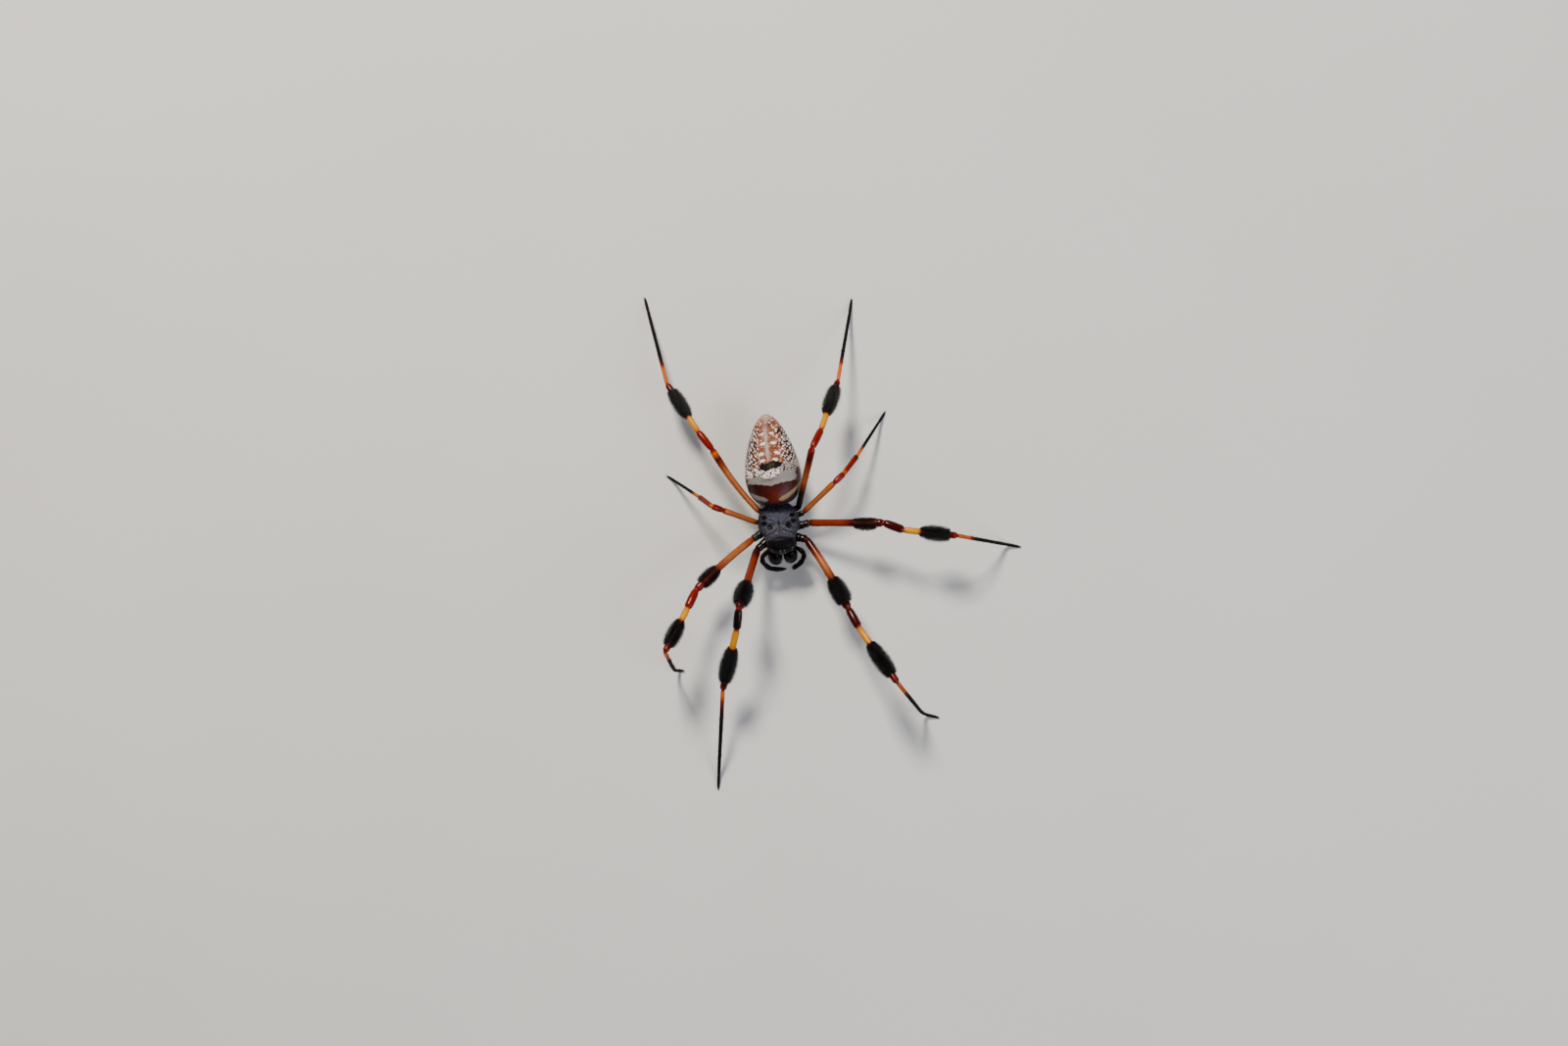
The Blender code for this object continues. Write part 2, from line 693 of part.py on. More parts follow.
def centre_on_floor(root, nodes):
    """Moves the whole body so that the middle of its outline is over the origin."""
    bpy.context.view_layer.update()
    corners = [node.matrix_world @ vert.co for node in nodes for vert in node.data.vertices]
    for axis in (0, 1):
        values = [corner[axis] for corner in corners]
        root.location[axis] -= (min(values) + max(values)) / 2


def main():
    clear_scene()
    root = bpy.data.objects.new("spider", None)
    bpy.context.scene.collection.objects.link(root)
    body = add_object("cephalothorax", cephalothorax(), (0, 0, RIM_Z), "shield", root)
    bpy.context.view_layer.update()
    belly = add_object("abdomen", abdomen(), (0, ABDOMEN_FRONT_Y, 8.4), "abdomen", root)
    nodes = [body, belly]
    nodes.append(add_object("sternum", sternum(), (0, 0, BELLY_Z), "sternum", root))
    for side, mirror in (("left", 1), ("right", -1)):
        jaw = add_object(f"chelicera_{side}", chelicera(mirror), (0, -5, 7.5), "head", root)
        nodes += [
            jaw,
            add_object(f"fang_{side}", fang(mirror), (0, -6.9, 3.4), "head", root),
            add_object(f"palp_{side}", palp(mirror), (0, -4.2, 5.0), "head", root),
        ]
        for place, (bearing, height, radius) in EYES.items():
            spot = eye_spot(body, bearing, height, mirror)
            nodes.append(add_object(f"eye_{place}_{side}", eye(spot, radius), spot, "eye", root))
        for number in LEG_LENGTHS:
            nodes += add_leg(number, side, root)
    silk = add_object("spinnerets", spinnerets(), (0, 19.3, 6.0), "dark_red", root)
    fuse(silk, spinneret_pegs())
    nodes.append(silk)
    fuse(body, horns())
    by_name = {node.name: node for node in nodes}
    for name, node in by_name.items():
        if name.startswith("eye_"):
            cut(body, inflated(node, EYE_GAP, f"socket_{name}"))
    shape = inflated(body, JOINT_GAP, "body_clearance")
    for name, node in by_name.items():
        if name.endswith("_coxa") or name.startswith(("palp_", "chelicera_")):
            cut(node, shape)
    cut(body, inflated(belly, JOINT_GAP, "abdomen_clearance"))
    cut(by_name["spinnerets"], inflated(belly, JOINT_GAP, "tail_clearance"))
    plate = inflated(by_name["sternum"], JOINT_GAP, "sternum_clearance")
    for name, node in by_name.items():
        if name.endswith("_coxa") or name.startswith("palp_"):
            cut(node, plate)
    for side in ("left", "right"):
        jaw = inflated(by_name[f"chelicera_{side}"], JOINT_GAP, f"jaw_clearance_{side}")
        cut(by_name[f"fang_{side}"], jaw)
    centre_on_floor(root, nodes)


main()
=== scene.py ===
"""Golden silk orb weaver: the looks of a still, life-size museum model of an adult female.

She stands on the tips of her legs, head towards -Y. Shapes below are in millimetres from the
middle of her thorax, the floor is Z = 0, and each finished piece is in metres in its frame.
"""

import math
from functools import cache

import bmesh
import bpy
import numpy as np
from bpy.props import FloatProperty, FloatVectorProperty, IntProperty, PointerProperty
from mathutils import Matrix, Vector


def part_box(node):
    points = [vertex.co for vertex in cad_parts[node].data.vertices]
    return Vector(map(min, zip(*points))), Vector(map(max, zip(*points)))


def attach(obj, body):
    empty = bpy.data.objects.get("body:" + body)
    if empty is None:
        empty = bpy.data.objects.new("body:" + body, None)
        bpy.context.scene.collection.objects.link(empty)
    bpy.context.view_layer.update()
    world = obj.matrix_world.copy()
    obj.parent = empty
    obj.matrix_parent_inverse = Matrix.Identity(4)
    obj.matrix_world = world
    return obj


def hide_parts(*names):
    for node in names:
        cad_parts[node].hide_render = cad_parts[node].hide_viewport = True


bl_info = {
    "name": "Golden silk orb weaver",
    "version": (1, 0, 0),
    "blender": (4, 5, 0),
    "location": "3D View > Sidebar > Spider",
    "description": "Dresses the solids of a life-size spider with skins, bristles and down",
    "category": "Object",
}

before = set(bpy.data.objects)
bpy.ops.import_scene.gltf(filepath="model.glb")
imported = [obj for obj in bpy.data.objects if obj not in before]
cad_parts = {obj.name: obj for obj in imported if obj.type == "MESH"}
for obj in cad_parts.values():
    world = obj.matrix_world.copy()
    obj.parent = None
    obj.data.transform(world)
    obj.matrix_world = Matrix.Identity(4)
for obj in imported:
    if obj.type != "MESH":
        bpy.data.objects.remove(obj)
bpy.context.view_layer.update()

MM = 0.001
SIDES = ("left", "right")
MIRRORS = {"left": 1, "right": -1}
SEED = 7

# Where the sternum's rear point and the front of its lip are: Y from the middle of the thorax
STERNUM_REAR = 2.9
STERNUM_FRONT = -4.1

# Head and thorax
SHIELD_HALF_WIDTH = 4.1
SHIELD_REAR_Y = 4.7
HEAD_FRONT_Y = -5.95
HEAD_HALF_WIDTH = 3.05
# Where the cheeks begin to close towards the front, and where the brow begins to drop
CHEEK_Y = -3.6
BROW_Y = -3.9
RIM_Z = 6.75
THORAX_TOP_Z = 8.7
HEAD_TOP_Z = 10.5
BELLY_Z = 5.15
# The pits on the thorax: distance from the midline, Y and radius
PITS = ((2.80, 1.70, 0.46), (2.95, 0.55, 0.46), (1.90, -0.25, 0.56))
# The pair of small horns behind the head: distance from the midline and Y
HORN = (0.80, -1.55)

# Abdomen
ABDOMEN_FRONT_Y = 3.9
ABDOMEN_LENGTH = 17.9
ABDOMEN_HALF_WIDTH = 5.5
ABDOMEN_ABOVE = 4.3
ABDOMEN_BELOW = 4.6
# The middle of the markings is a little to her right, as she lies rolled that way
MARKS_MIDDLE = -0.3
# The pairs of white spots along the back: Y, distance right and left of the midline, half length
SPOT_PAIRS = (
    (20.05, 1.16, 0.58, 0.24),
    (19.05, 1.89, 1.13, 0.24),
    (17.95, 1.19, 0.71, 0.46),
    (16.05, 1.23, 0.81, 0.60),
    (14.05, 1.81, 1.32, 0.62),
    (12.75, 1.70, 0.82, 0.55),
)
# The edges of the pale band across the front: (X, Y), her right side first
BAND_TOP = ((-5.0, 9.6), (-3.2, 9.8), (-0.5, 9.05), (1.0, 9.7), (3.0, 10.4), (4.6, 10.6))
BAND_BOTTOM = ((-5.0, 8.5), (-3.3, 8.3), (-0.7, 7.7), (1.4, 8.1), (3.8, 8.3), (5.0, 8.6))

# Legs, numbered from the front pair: lengths of femur, patella, tibia, metatarsus and tarsus
LEG_LENGTHS = {
    1: (16.5, 4.4, 14.1, 18.5, 3.2),
    2: (15.6, 4.1, 10.6, 15.1, 3.1),
    3: (9.0, 2.8, 5.1, 9.7, 2.4),
    4: (15.8, 4.4, 11.8, 15.5, 3.1),
}
# Radii of coxa, femur, patella, tibia, metatarsus and tarsus
LEG_RADII = {
    1: (0.86, 0.82, 0.84, 0.70, 0.42, 0.30),
    2: (0.82, 0.76, 0.84, 0.66, 0.40, 0.30),
    3: (0.60, 0.56, 0.62, 0.54, 0.33, 0.27),
    4: (0.68, 0.64, 0.71, 0.61, 0.38, 0.29),
}
SEGMENTS = ("coxa", "femur", "patella", "tibia", "metatarsus", "tarsus")
HIP_Z = 5.7
TROCHANTER_Z = 6.3
HIP_PLACES = {1: (2.3, -2.6), 2: (2.7, -0.85), 3: (2.5, 0.9), 4: (1.8, 2.5)}
# The pose: the place where the femur starts, the heading of each segment in plan from femur to
# tarsus, and the rise of femur, patella, tibia and tarsus. The metatarsus drops to the floor.
LEG_POSES = {
    (1, "left"): ((5.0, -3.5), (-66, -68, -62, -58, -20), (15, 19, 22, -12)),
    (1, "right"): ((-4.9, -4.4), (-114, -103, -110, -100, -99), (43, -26, -29, -12)),
    (2, "left"): ((6.0, -0.4), (-7, -27, -13, -17, -17), (21, 3, 1, -12)),
    (2, "right"): ((-5.6, -2.3), (-145, -122, -124, -75, -10), (18, 21, 26, -56)),
    (3, "left"): ((5.1, 1.8), (37, 37, 46, 50, 51), (23, -14, -32, -21)),
    (3, "right"): ((-4.3, 0.9), (153, 153, 137, 140, 141), (38, 36, -53, -33)),
    (4, "left"): ((4.15, 2.75), (70, 57, 64, 73, 75), (40, -27, -29, -12)),
    (4, "right"): ((-3.65, 3.1), (120, 122, 116, 98, 97), (15, -12, -17, -15)),
}
BOW = {"coxa": 0.03, "femur": 0.03, "patella": 0.02, "tibia": 0.015, "metatarsus": 0.03}
SWAYS = {("femur", 1, "left"): 0.02, ("femur", 2, "right"): -0.02, ("femur", 4, "right"): 0.03}
# How far a leg's skin runs on inside the body, as a share of the coxa
ROOT_DEPTH = 0.25
PAD_LENGTH = 0.8
PAD_CENTRE_Z = 0.2
# Where the bend of the ankle begins, as a share of the metatarsus
ANKLE_BEND = 0.84
# How far along its bend the ankle is, and the place in segments where the bend ends
ANKLE_IN_BEND = 0.7
BEND_END = 5.38
BEND_POINTS = 36
# How far apart the points of a leg's middle line and the rows of its skin are
POINT_STEP = 0.1
ROW_STEP = 0.17
LEG_SIDES = 24
# How each segment swells along its length: (share of the length, share of its radius)
SWELLINGS = {
    "coxa": ((0.0, 1.05), (0.35, 1.0), (0.60, 0.97), (0.655, 0.80), (0.70, 0.92), (0.93, 0.90), (1.0, 0.62)),
    "femur": ((0.0, 0.64), (0.012, 0.84), (0.06, 0.95), (0.3, 0.94), (0.6, 1.0), (0.86, 1.1), (0.96, 1.1)),
    "patella": ((0.0, 0.64), (0.05, 0.86), (0.2, 0.98), (0.5, 1.05), (0.85, 1.0), (0.95, 0.90)),
    "tibia": ((0.0, 0.66), (0.02, 0.88), (0.08, 0.98), (0.3, 0.98), (0.6, 1.0), (0.9, 1.05), (0.97, 1.0)),
    "metatarsus": ((0.0, 0.76), (0.015, 1.0), (0.06, 1.02), (0.3, 0.92), (0.6, 0.84), (0.97, 0.78)),
    "tarsus": ((0.0, 0.84), (0.06, 1.02), (0.5, 1.0), (0.8, 0.9), (0.95, 0.66), (1.0, 0.35)),
}
# The brushes: share of the segment where each starts and ends, and the radius at the tips
BRUSHES = {
    ("femur", 1): (0.60, 0.94, 2.14),
    ("femur", 2): (0.62, 0.92, 1.72),
    ("tibia", 1): (0.31, 0.88, 2.04),
    ("tibia", 2): (0.31, 0.88, 1.88),
    ("tibia", 4): (0.31, 0.88, 1.82),
}
# Painted shade: what the colour of a leg is multiplied by on its flanks and underside, which are darker and
# redder than its top
PAINTED_FLANK_SHADE = np.array((0.62, 0.36, 0.28))
# The one brush that is short on its rear side
THIN_SIDE = ("femur", 2, "left")
# How bare the line along the back of a brush is, from 0 to 1
BARE_BACKS = {("femur", 2): 0.9, ("tibia", 2): 0.8}
BARE_LINE_WIDTH = 0.075


def thigh_bands(number, side):
    """Colours along a femur, from 1 at its root to 2 at the knee."""
    if number == 1:
        # Painted shade: the right first femur is rust where the left one is amber
        shaft = "amber" if side == "left" else "rust"
        root = ((1.0, "garnet"), (1.12, "garnet"), (1.22, "rust"), (1.32, shaft), (1.44, shaft))
        return root + ((1.58, "rust"), (1.64, "soot"), (1.9, "soot"), (1.95, "garnet"))
    if number == 3:
        return ((1.0, "garnet"), (1.08, "rust"), (1.2, "amber"), (1.85, "amber"), (1.95, "fire"))
    # Painted shade: the left second femur is rust and garnet where the right one is amber
    if (number, side) == (2, "left"):
        return ((1.0, "garnet"), (1.1, "rust"), (1.45, "rust"), (1.6, "garnet"))
    if (number, side) == (2, "right"):
        return ((1.0, "rust"), (1.16, "amber"), (1.42, "amber"), (1.6, "rust"), (1.66, "garnet"))
    if side == "left":
        dark = ((1.0, "jet"), (1.3, "jet"), (1.4, "rust"))
        return dark + ((1.5, "amber"), (1.74, "rust"), (1.84, "garnet"))
    clear = ((1.0, "rust"), (1.08, "amber"), (1.66, "amber"))
    return clear + ((1.78, "rust"), (1.86, "garnet"), (1.94, "fire"))


def leg_bands(number, side):
    """Colours along a leg, by segment number and share: 0 is the coxa's root, 6 is the tip."""
    hip = ((0.0, "jet"), (0.66, "jet"), (0.68, "garnet"), (0.7, "jet"), (0.95, "jet"))
    knees = {(1, "left"): "garnet", (1, "right"): "soot", (2, "left"): "garnet"}
    knee = knees.get((number, side), "ember")
    middle = ((1.97, knee), (2.0, "ember"), (2.04, knee), (2.93, knee))
    if number == 3:
        shin = ((3.0, "fire"), (3.12, "ember"), (3.7, "ember"), (3.95, "garnet"))
        foot = ((4.02, "fire"), (4.12, "fire"), (4.24, "garnet"), (4.32, "jet"))
    else:
        shin = ((3.0, "ember"), (3.02, "fire"), (3.07, "honey"), (3.25, "honey"), (3.3, "fire"))
        shin += ((3.325, "garnet"), (3.36, "soot"), (3.84, "soot"), (3.88, "garnet"), (3.95, "ember"))
        ends = (4.06, 4.13, 4.2, 4.3) if (number, side) == (1, "right") else (4.2, 4.25, 4.3, 4.36)
        foot = ((4.0, "garnet"), (4.015, "fire"), *zip(ends, ("fire", "ember", "garnet", "jet")))
    return hip + thigh_bands(number, side) + middle + shin + foot + ((6.0, "jet"),)


def linear(code):
    """An sRGB hex colour as linear red, green and blue."""
    shares = [int(code[at : at + 2], 16) / 255 for at in (0, 2, 4)]
    return tuple(c / 12.92 if c <= 0.04045 else ((c + 0.055) / 1.055) ** 2.4 for c in shares)


def colour_property(name, code, description):
    return FloatVectorProperty(
        name=name, description=description, subtype="COLOR", size=3, min=0.0, max=1.0, default=linear(code)
    )


def length_property(name, size, description):
    return FloatProperty(
        name=name, description=description, subtype="DISTANCE", unit="LENGTH", min=0.0, default=size * MM
    )


class SpiderColours(bpy.types.PropertyGroup):
    """The colours of her cuticle and hair."""

    jet: colour_property("Jet", "0D0A0C", "Black of the head, jaws, feet and brushes")
    soot: colour_property("Soot", "1A0908", "Dark cuticle under the brushes")
    garnet: colour_property("Garnet", "3E0806", "Dark red of the knees and the ends of the long segments")
    ember: colour_property("Ember", "781206", "Red of the rear knees and the soft joints")
    rust: colour_property("Rust", "7C270D", "Red-brown between the amber and the garnet")
    amber: colour_property("Amber", "A2582A", "Clear orange-brown of the femora")
    fire: colour_property("Fire", "C85C02", "Orange at the joints and the roots of the metatarsi")
    honey: colour_property("Honey", "D69000", "Yellow-orange ring on each tibia")
    shield: colour_property("Shield", "26252A", "Cuticle of the thorax under its down")
    silver: colour_property("Silver", "9C9EBC", "Down on the thorax")
    copper: colour_property("Copper", "8A4733", "Back of the abdomen")
    gold: colour_property("Gold", "B98445", "Small spots in the copper")
    maroon: colour_property("Maroon", "34090D", "Sides of the abdomen")
    cream: colour_property("Cream", "F1E8E0", "White spots of the abdomen")
    pearl: colour_property("Pearl", "8A8583", "Smooth pale band across the front of the abdomen")
    oxblood: colour_property("Oxblood", "3A0D08", "Dark red band in front of the pale one")
    straw: colour_property("Straw", "A8966C", "Crescents at the front of the abdomen")
    olive: colour_property("Olive", "33300F", "Middle of the dark mark behind the pale band")


class SpiderSizes(bpy.types.PropertyGroup):
    """The sizes of her hair, and how densely it stands."""

    bristle_width: length_property("Bristle width", 0.046, "Thickness of a brush bristle at its root")
    hair_width: length_property("Hair width", 0.028, "Thickness of a short hair at its root")
    hair_length: length_property("Hair length", 0.42, "Length of the short hair on the legs")
    down_length: length_property("Down length", 0.30, "Length of the flat silver hair on the thorax")
    bristles: IntProperty(
        name="Bristles", description="Brush bristles on a square millimetre", min=1, default=150
    )
    foot_hairs: IntProperty(
        name="Foot hairs", description="Short hairs on a square millimetre of the feet", min=1, default=330
    )
    down: IntProperty(name="Down", description="Flat hairs on a square millimetre", min=1, default=460)


def sizes():
    return bpy.context.scene.spider_sizes


def colour(name):
    return np.array(getattr(bpy.context.scene.spider_colours, name))


# Shapes as functions of the share along them and the share of a turn round them

# How many points a rounded course has for each of its places
COURSE_STEPS = 24


def unit(vectors):
    return vectors / np.maximum(np.linalg.norm(vectors, axis=-1, keepdims=True), 1e-12)


def smooth(low, high, value):
    share = np.clip((value - low) / (high - low), 0.0, 1.0)
    return share * share * (3 - 2 * share)


def hump(distance, width):
    """A smooth hump, 1 in its middle and almost gone at twice its width."""
    return np.exp(-((distance / width) ** 2))


def spot(x, y, middle_x, middle_y, wide, long):
    """A smooth oval spot, 1 in its middle and almost gone at twice its reach."""
    return np.exp(-(((x - middle_x) / wide) ** 2) - ((y - middle_y) / long) ** 2)


def rounding(distance, length):
    """From 0 at an end to 1 at a length from it, along a quarter of a circle."""
    return np.sqrt(1 - (1 - np.clip(distance / length, 0, 1)) ** 2)


def circled(turn):
    """Across and up on a circle of radius 1, at a share of a turn."""
    return np.cos(2 * np.pi * turn), np.sin(2 * np.pi * turn)


def evened(values, passes):
    """Rounds off the corners of a row of values, whose two ends stay."""
    values = values.copy()
    for _ in range(passes):
        values[1:-1] = (values[:-2] + 2 * values[1:-1] + values[2:]) / 4
    return values


def heading(plan_angle, rise):
    plan_angle, rise = math.radians(plan_angle), math.radians(rise)
    flat = math.cos(rise)
    return Vector((flat * math.cos(plan_angle), flat * math.sin(plan_angle), math.sin(rise)))


def arched(start, end, bow, sway, shares):
    """Points on a shallow arch from start to end."""
    run = end - start
    side = run.cross(Vector((0, 0, 1))).normalized()
    lift = (side.cross(run).normalized() * bow - side * sway) * run.length
    return [start.lerp(end, share) + lift * 4 * share * (1 - share) for share in shares]


def leg_joints(number, side):
    """The joints of a leg from the femur's root to the tip."""
    (x, y), plan_angles, rises = LEG_POSES[number, side]
    lengths = LEG_LENGTHS[number]
    joints = [Vector((x, y, TROCHANTER_Z))]
    for length, plan_angle, rise in zip(lengths[:3], plan_angles[:3], rises[:3]):
        joints.append(joints[-1] + heading(plan_angle, rise) * length)
    ankle_z = PAD_CENTRE_Z - lengths[4] * math.sin(math.radians(rises[3]))
    drop = math.degrees(math.asin((ankle_z - joints[-1].z) / lengths[3]))
    joints.append(joints[-1] + heading(plan_angles[3], drop) * lengths[3])
    joints.append(joints[-1] + heading(plan_angles[4], rises[3]) * lengths[4])
    return joints


def leg_course(number, side):
    """The middle line of a leg, with the place of each point counted in segments."""
    joints = leg_joints(number, side)
    x, y = HIP_PLACES[number]
    ends = [Vector((x * MIRRORS[side], y, HIP_Z)), *joints]
    points, places = [ends[0].lerp(ends[1], -ROOT_DEPTH)], [0.0]
    for index, kind in enumerate(SEGMENTS[:5]):
        start, end = ends[index], ends[index + 1]
        last = ANKLE_BEND if kind == "metatarsus" else 1.0
        count = int((end - start).length / POINT_STEP)
        shares = np.linspace(0, last, count, endpoint=False)
        points += arched(start, end, BOW[kind], SWAYS.get((kind, number, side), 0.0), shares)
        places += list(index + shares)
    ankle, tip = ends[-2:]
    level = Vector((tip.x - ankle.x, tip.y - ankle.y, 0)).normalized()
    pad = tip - level * PAD_LENGTH
    knuckle = arched(ends[-3], ankle, BOW["metatarsus"], 0.0, (ANKLE_BEND,))[0]
    instep = ankle.lerp(pad, 0.5)
    shares = np.linspace(0, 1, BEND_POINTS, endpoint=False)
    points += [knuckle.lerp(ankle, share).lerp(ankle.lerp(instep, share), share) for share in shares]
    places += list(np.interp(shares, (0, ANKLE_IN_BEND, 1), (4 + ANKLE_BEND, 5, BEND_END)))
    pad_place = 6 - PAD_LENGTH / LEG_LENGTHS[number][4]
    for start, end, first, last in ((instep, pad, BEND_END, pad_place), (pad, tip, pad_place, 6.0)):
        count = max(4, int((end - start).length / POINT_STEP))
        shares = np.linspace(0, 1, count, endpoint=end is tip)
        points += [start.lerp(end, share) for share in shares]
        places += list(first + (last - first) * shares)
    return np.array(points), np.array(places)


def leg_radii(number, places):
    """The radius of a leg at places counted in segments."""
    knots, radii = [], []
    for index, kind in enumerate(SEGMENTS):
        full = LEG_RADII[number][index]
        for share, size in SWELLINGS[kind]:
            knots.append(index + share - (1e-3 if share == 1.0 else 0.0))
            radii.append(full * size)
    return np.interp(places, knots, radii)


def tube(points, radii):
    """A tube round a line: its function from share along and share of a turn to places."""
    steps = np.linalg.norm(np.diff(points, axis=0), axis=1)
    spans = np.concatenate(([0.0], np.cumsum(steps)))
    spans /= spans[-1]
    ahead = unit(np.gradient(points, spans, axis=0))
    aside = unit(np.cross(ahead, (0.0, 0.0, 1.0)))
    upward = np.cross(aside, ahead)
    fields = np.column_stack((points, aside * radii[:, None], upward * radii[:, None]))

    def shape(along, turn):
        found = np.column_stack([np.interp(along, spans, field) for field in fields.T])
        across, up = circled(turn[:, None])
        return found[:, :3] + found[:, 3:6] * across + found[:, 6:] * up

    shape.spans = spans
    return shape


def course_tube(places, radii, softness=120):
    """A tube through a few places with a radius at each, rounded between them, with round ends."""
    knots = range(len(places))
    ticks = np.linspace(0, len(places) - 1, COURSE_STEPS * len(places))
    straight = np.column_stack([np.interp(ticks, knots, axis) for axis in np.transpose(places)])
    fine = evened(straight, passes=150)
    radii = evened(np.interp(ticks, knots, radii), passes=softness)
    spans = np.concatenate(([0.0], np.cumsum(np.linalg.norm(np.diff(fine, axis=0), axis=1))))
    for end, distance in ((0, spans), (-1, spans[-1] - spans)):
        radii = radii * rounding(distance, max(radii[end], 1e-6))
    return tube(fine, radii)


def leg_shape(number, side):
    """The bare skin of a leg, and the place in segments at each share along it."""
    points, places = leg_course(number, side)
    radii = evened(leg_radii(number, places), passes=1)
    radii[[0, -1]] = 0.0
    rough = tube(evened(points, passes=10), radii)

    def shape(along, turn):
        found = rough(along, turn)
        found[:, 2] = np.maximum(found[:, 2], 0.0)
        return found

    return shape, lambda along: np.interp(along, rough.spans, places)


def shield_section(y):
    """Half width, top and bottom of the head and thorax at Y."""
    to_rear = np.maximum(y, 0.0) / SHIELD_REAR_Y
    rear = np.maximum(0.0, 1 - to_rear**2.6) ** 0.55
    past_cheek = np.maximum(CHEEK_Y - y, 0.0) / (CHEEK_Y - HEAD_FRONT_Y)
    front = np.maximum(0.0, 1 - past_cheek**2.4) ** 0.5
    headward = smooth(0.4, 2.7, -y)
    half_width = SHIELD_HALF_WIDTH * rear * (1 - headward) + HEAD_HALF_WIDTH * front * headward
    top = THORAX_TOP_Z - 1.2 * to_rear**2
    top += (HEAD_TOP_Z - THORAX_TOP_Z) * smooth(0.6, 3.2, -y)
    top -= 1.9 * (np.maximum(BROW_Y - y, 0.0) / (BROW_Y - HEAD_FRONT_Y)) ** 2.2
    top -= 0.25 * np.exp(-((y - 0.2) ** 2) / 0.5)
    bottom = BELLY_Z + 0.5 * to_rear**2 + 1.2 * smooth(2.6, 4.2, -y)
    return half_width, top, bottom


def shield_relief(x, y):
    """How far the top of head and thorax rises above its plain form.

    It has a dimple in the middle, pits with a shallow groove to each, a groove behind the head and
    the pair of horns.
    """
    side = np.abs(x)
    rise = -0.42 * spot(x, y, 0, 0.35, 0.34, 0.42)
    behind = y - 0.3
    for middle, back, radius in PITS:
        rise -= 0.16 * spot(side, y, middle, back, radius, radius * 0.8)
        run = back - 0.3
        reach = np.clip((side * middle + behind * run) / (middle**2 + run**2), 0, 1)
        away = np.hypot(side - middle * reach, behind - run * reach)
        rise -= 0.10 * hump(away, 0.22) * reach * (1 - reach) * 4
    neck = np.abs(y + 0.75 + 0.42 * side) / 1.08
    rise -= 0.20 * hump(neck, 0.28) * smooth(0.2, 0.9, side)
    rise += 0.42 * spot(side, y, *HORN, 0.25, 0.25)
    return rise


def shield_shape(along, turn):
    """Head and thorax in one skin, from the rear to the front."""
    y = SHIELD_REAR_Y + (HEAD_FRONT_Y - SHIELD_REAR_Y) * along
    half_width, top, bottom = shield_section(y)
    closing = rounding(np.minimum(y - HEAD_FRONT_Y, SHIELD_REAR_Y - y), 0.45)
    share, level = circled(turn)
    boxy = 0.85 - 0.2 * smooth(1.5, 3.5, -y)
    above = level > 0
    tall = np.where(above, (top - RIM_Z) * np.abs(level) ** boxy, (RIM_Z - bottom) * level)
    wide = np.where(above, np.sign(share) * np.abs(share) ** boxy, share * (1 + 0.30 * level))
    x = wide * half_width
    relief = np.where(above, shield_relief(x, y) * smooth(0.0, 0.5, np.abs(level)), 0.0)
    return np.column_stack((x, y, RIM_Z + tall * closing + relief))


def abdomen_section(share):
    """Half width, height of the middle and relative size, from the tail (0) to the front (1)."""
    size = np.maximum(0.0, np.sin(np.pi * share**1.8)) ** 0.29
    middle = 7.55 + 1.5 * (1 - share) ** 3 + 1.15 * share**6
    return ABDOMEN_HALF_WIDTH * size, middle, size


def abdomen_shape(along, turn):
    """Her abdomen from the front to the tail. Its points lie closer together on the back."""
    across, level = circled(turn + 0.3 * circled(turn)[0] / (2 * np.pi))
    half_width, middle, size = abdomen_section(np.clip(along, 0, 1))
    x = across * half_width
    y = ABDOMEN_FRONT_Y + ABDOMEN_LENGTH * (1 - along)
    level = level * size
    z = middle + level * np.where(level > 0, ABDOMEN_ABOVE, ABDOMEN_BELOW)
    # The book-lung covers and the slit between them, and the furrow behind
    under = smooth(0.0, -0.6, level)
    z -= under * (0.25 * spot(np.abs(x), y, 2.3, 6.9, 1.0, 1.2) + 0.4 * spot(x, y, 0, 8.0, 0.7, 0.5))
    z += under * 0.22 * hump(y - 8.7, 0.22) * smooth(4.2, 3.0, np.abs(x))
    return np.column_stack((x, y, z))


# Finished pieces

# Points of a skin that are closer than this, in millimetres, are the same point
WELD = 0.0005


def body_origin():
    """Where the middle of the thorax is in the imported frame, from the sternum's rear point."""
    low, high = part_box("sternum")
    return Vector(((low.x + high.x) / 2, high.y - STERNUM_REAR * MM, 0.0))


ORIGIN = body_origin()


def add_piece(name, mesh, material, replaced=()):
    """Hands over a finished mesh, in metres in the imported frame."""
    made = bpy.data.objects.new(name, mesh)
    bpy.context.scene.collection.objects.link(made)
    mesh.materials.append(material)
    mesh.shade_smooth()
    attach(made, "root")
    if replaced:
        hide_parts(*replaced)


def wrapped(name, shape, rows, around):
    """A skin: a grid rolled up round a line and welded, with each point placed by its shape.

    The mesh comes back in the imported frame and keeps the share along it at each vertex.
    """
    bm = bmesh.new()
    bmesh.ops.create_grid(bm, x_segments=len(rows) - 1, y_segments=around, size=0.5)
    flat = np.array([vert.co[:2] for vert in bm.verts]) + 0.5
    along = np.interp(flat[:, 0], np.linspace(0, 1, len(rows)), rows)
    places = shape(along, flat[:, 1] % 1.0)
    share = bm.verts.layers.float.new("along")
    for vert, place, value in zip(bm.verts, places.tolist(), along.tolist()):
        vert.co = place
        vert[share] = value
    bmesh.ops.remove_doubles(bm, verts=bm.verts[:], dist=WELD)
    bmesh.ops.recalc_face_normals(bm, faces=bm.faces[:])
    mesh = bpy.data.meshes.new(name)
    bm.to_mesh(mesh)
    bm.free()
    mesh.transform(Matrix.Translation(ORIGIN) @ Matrix.Scale(MM, 4))
    return mesh


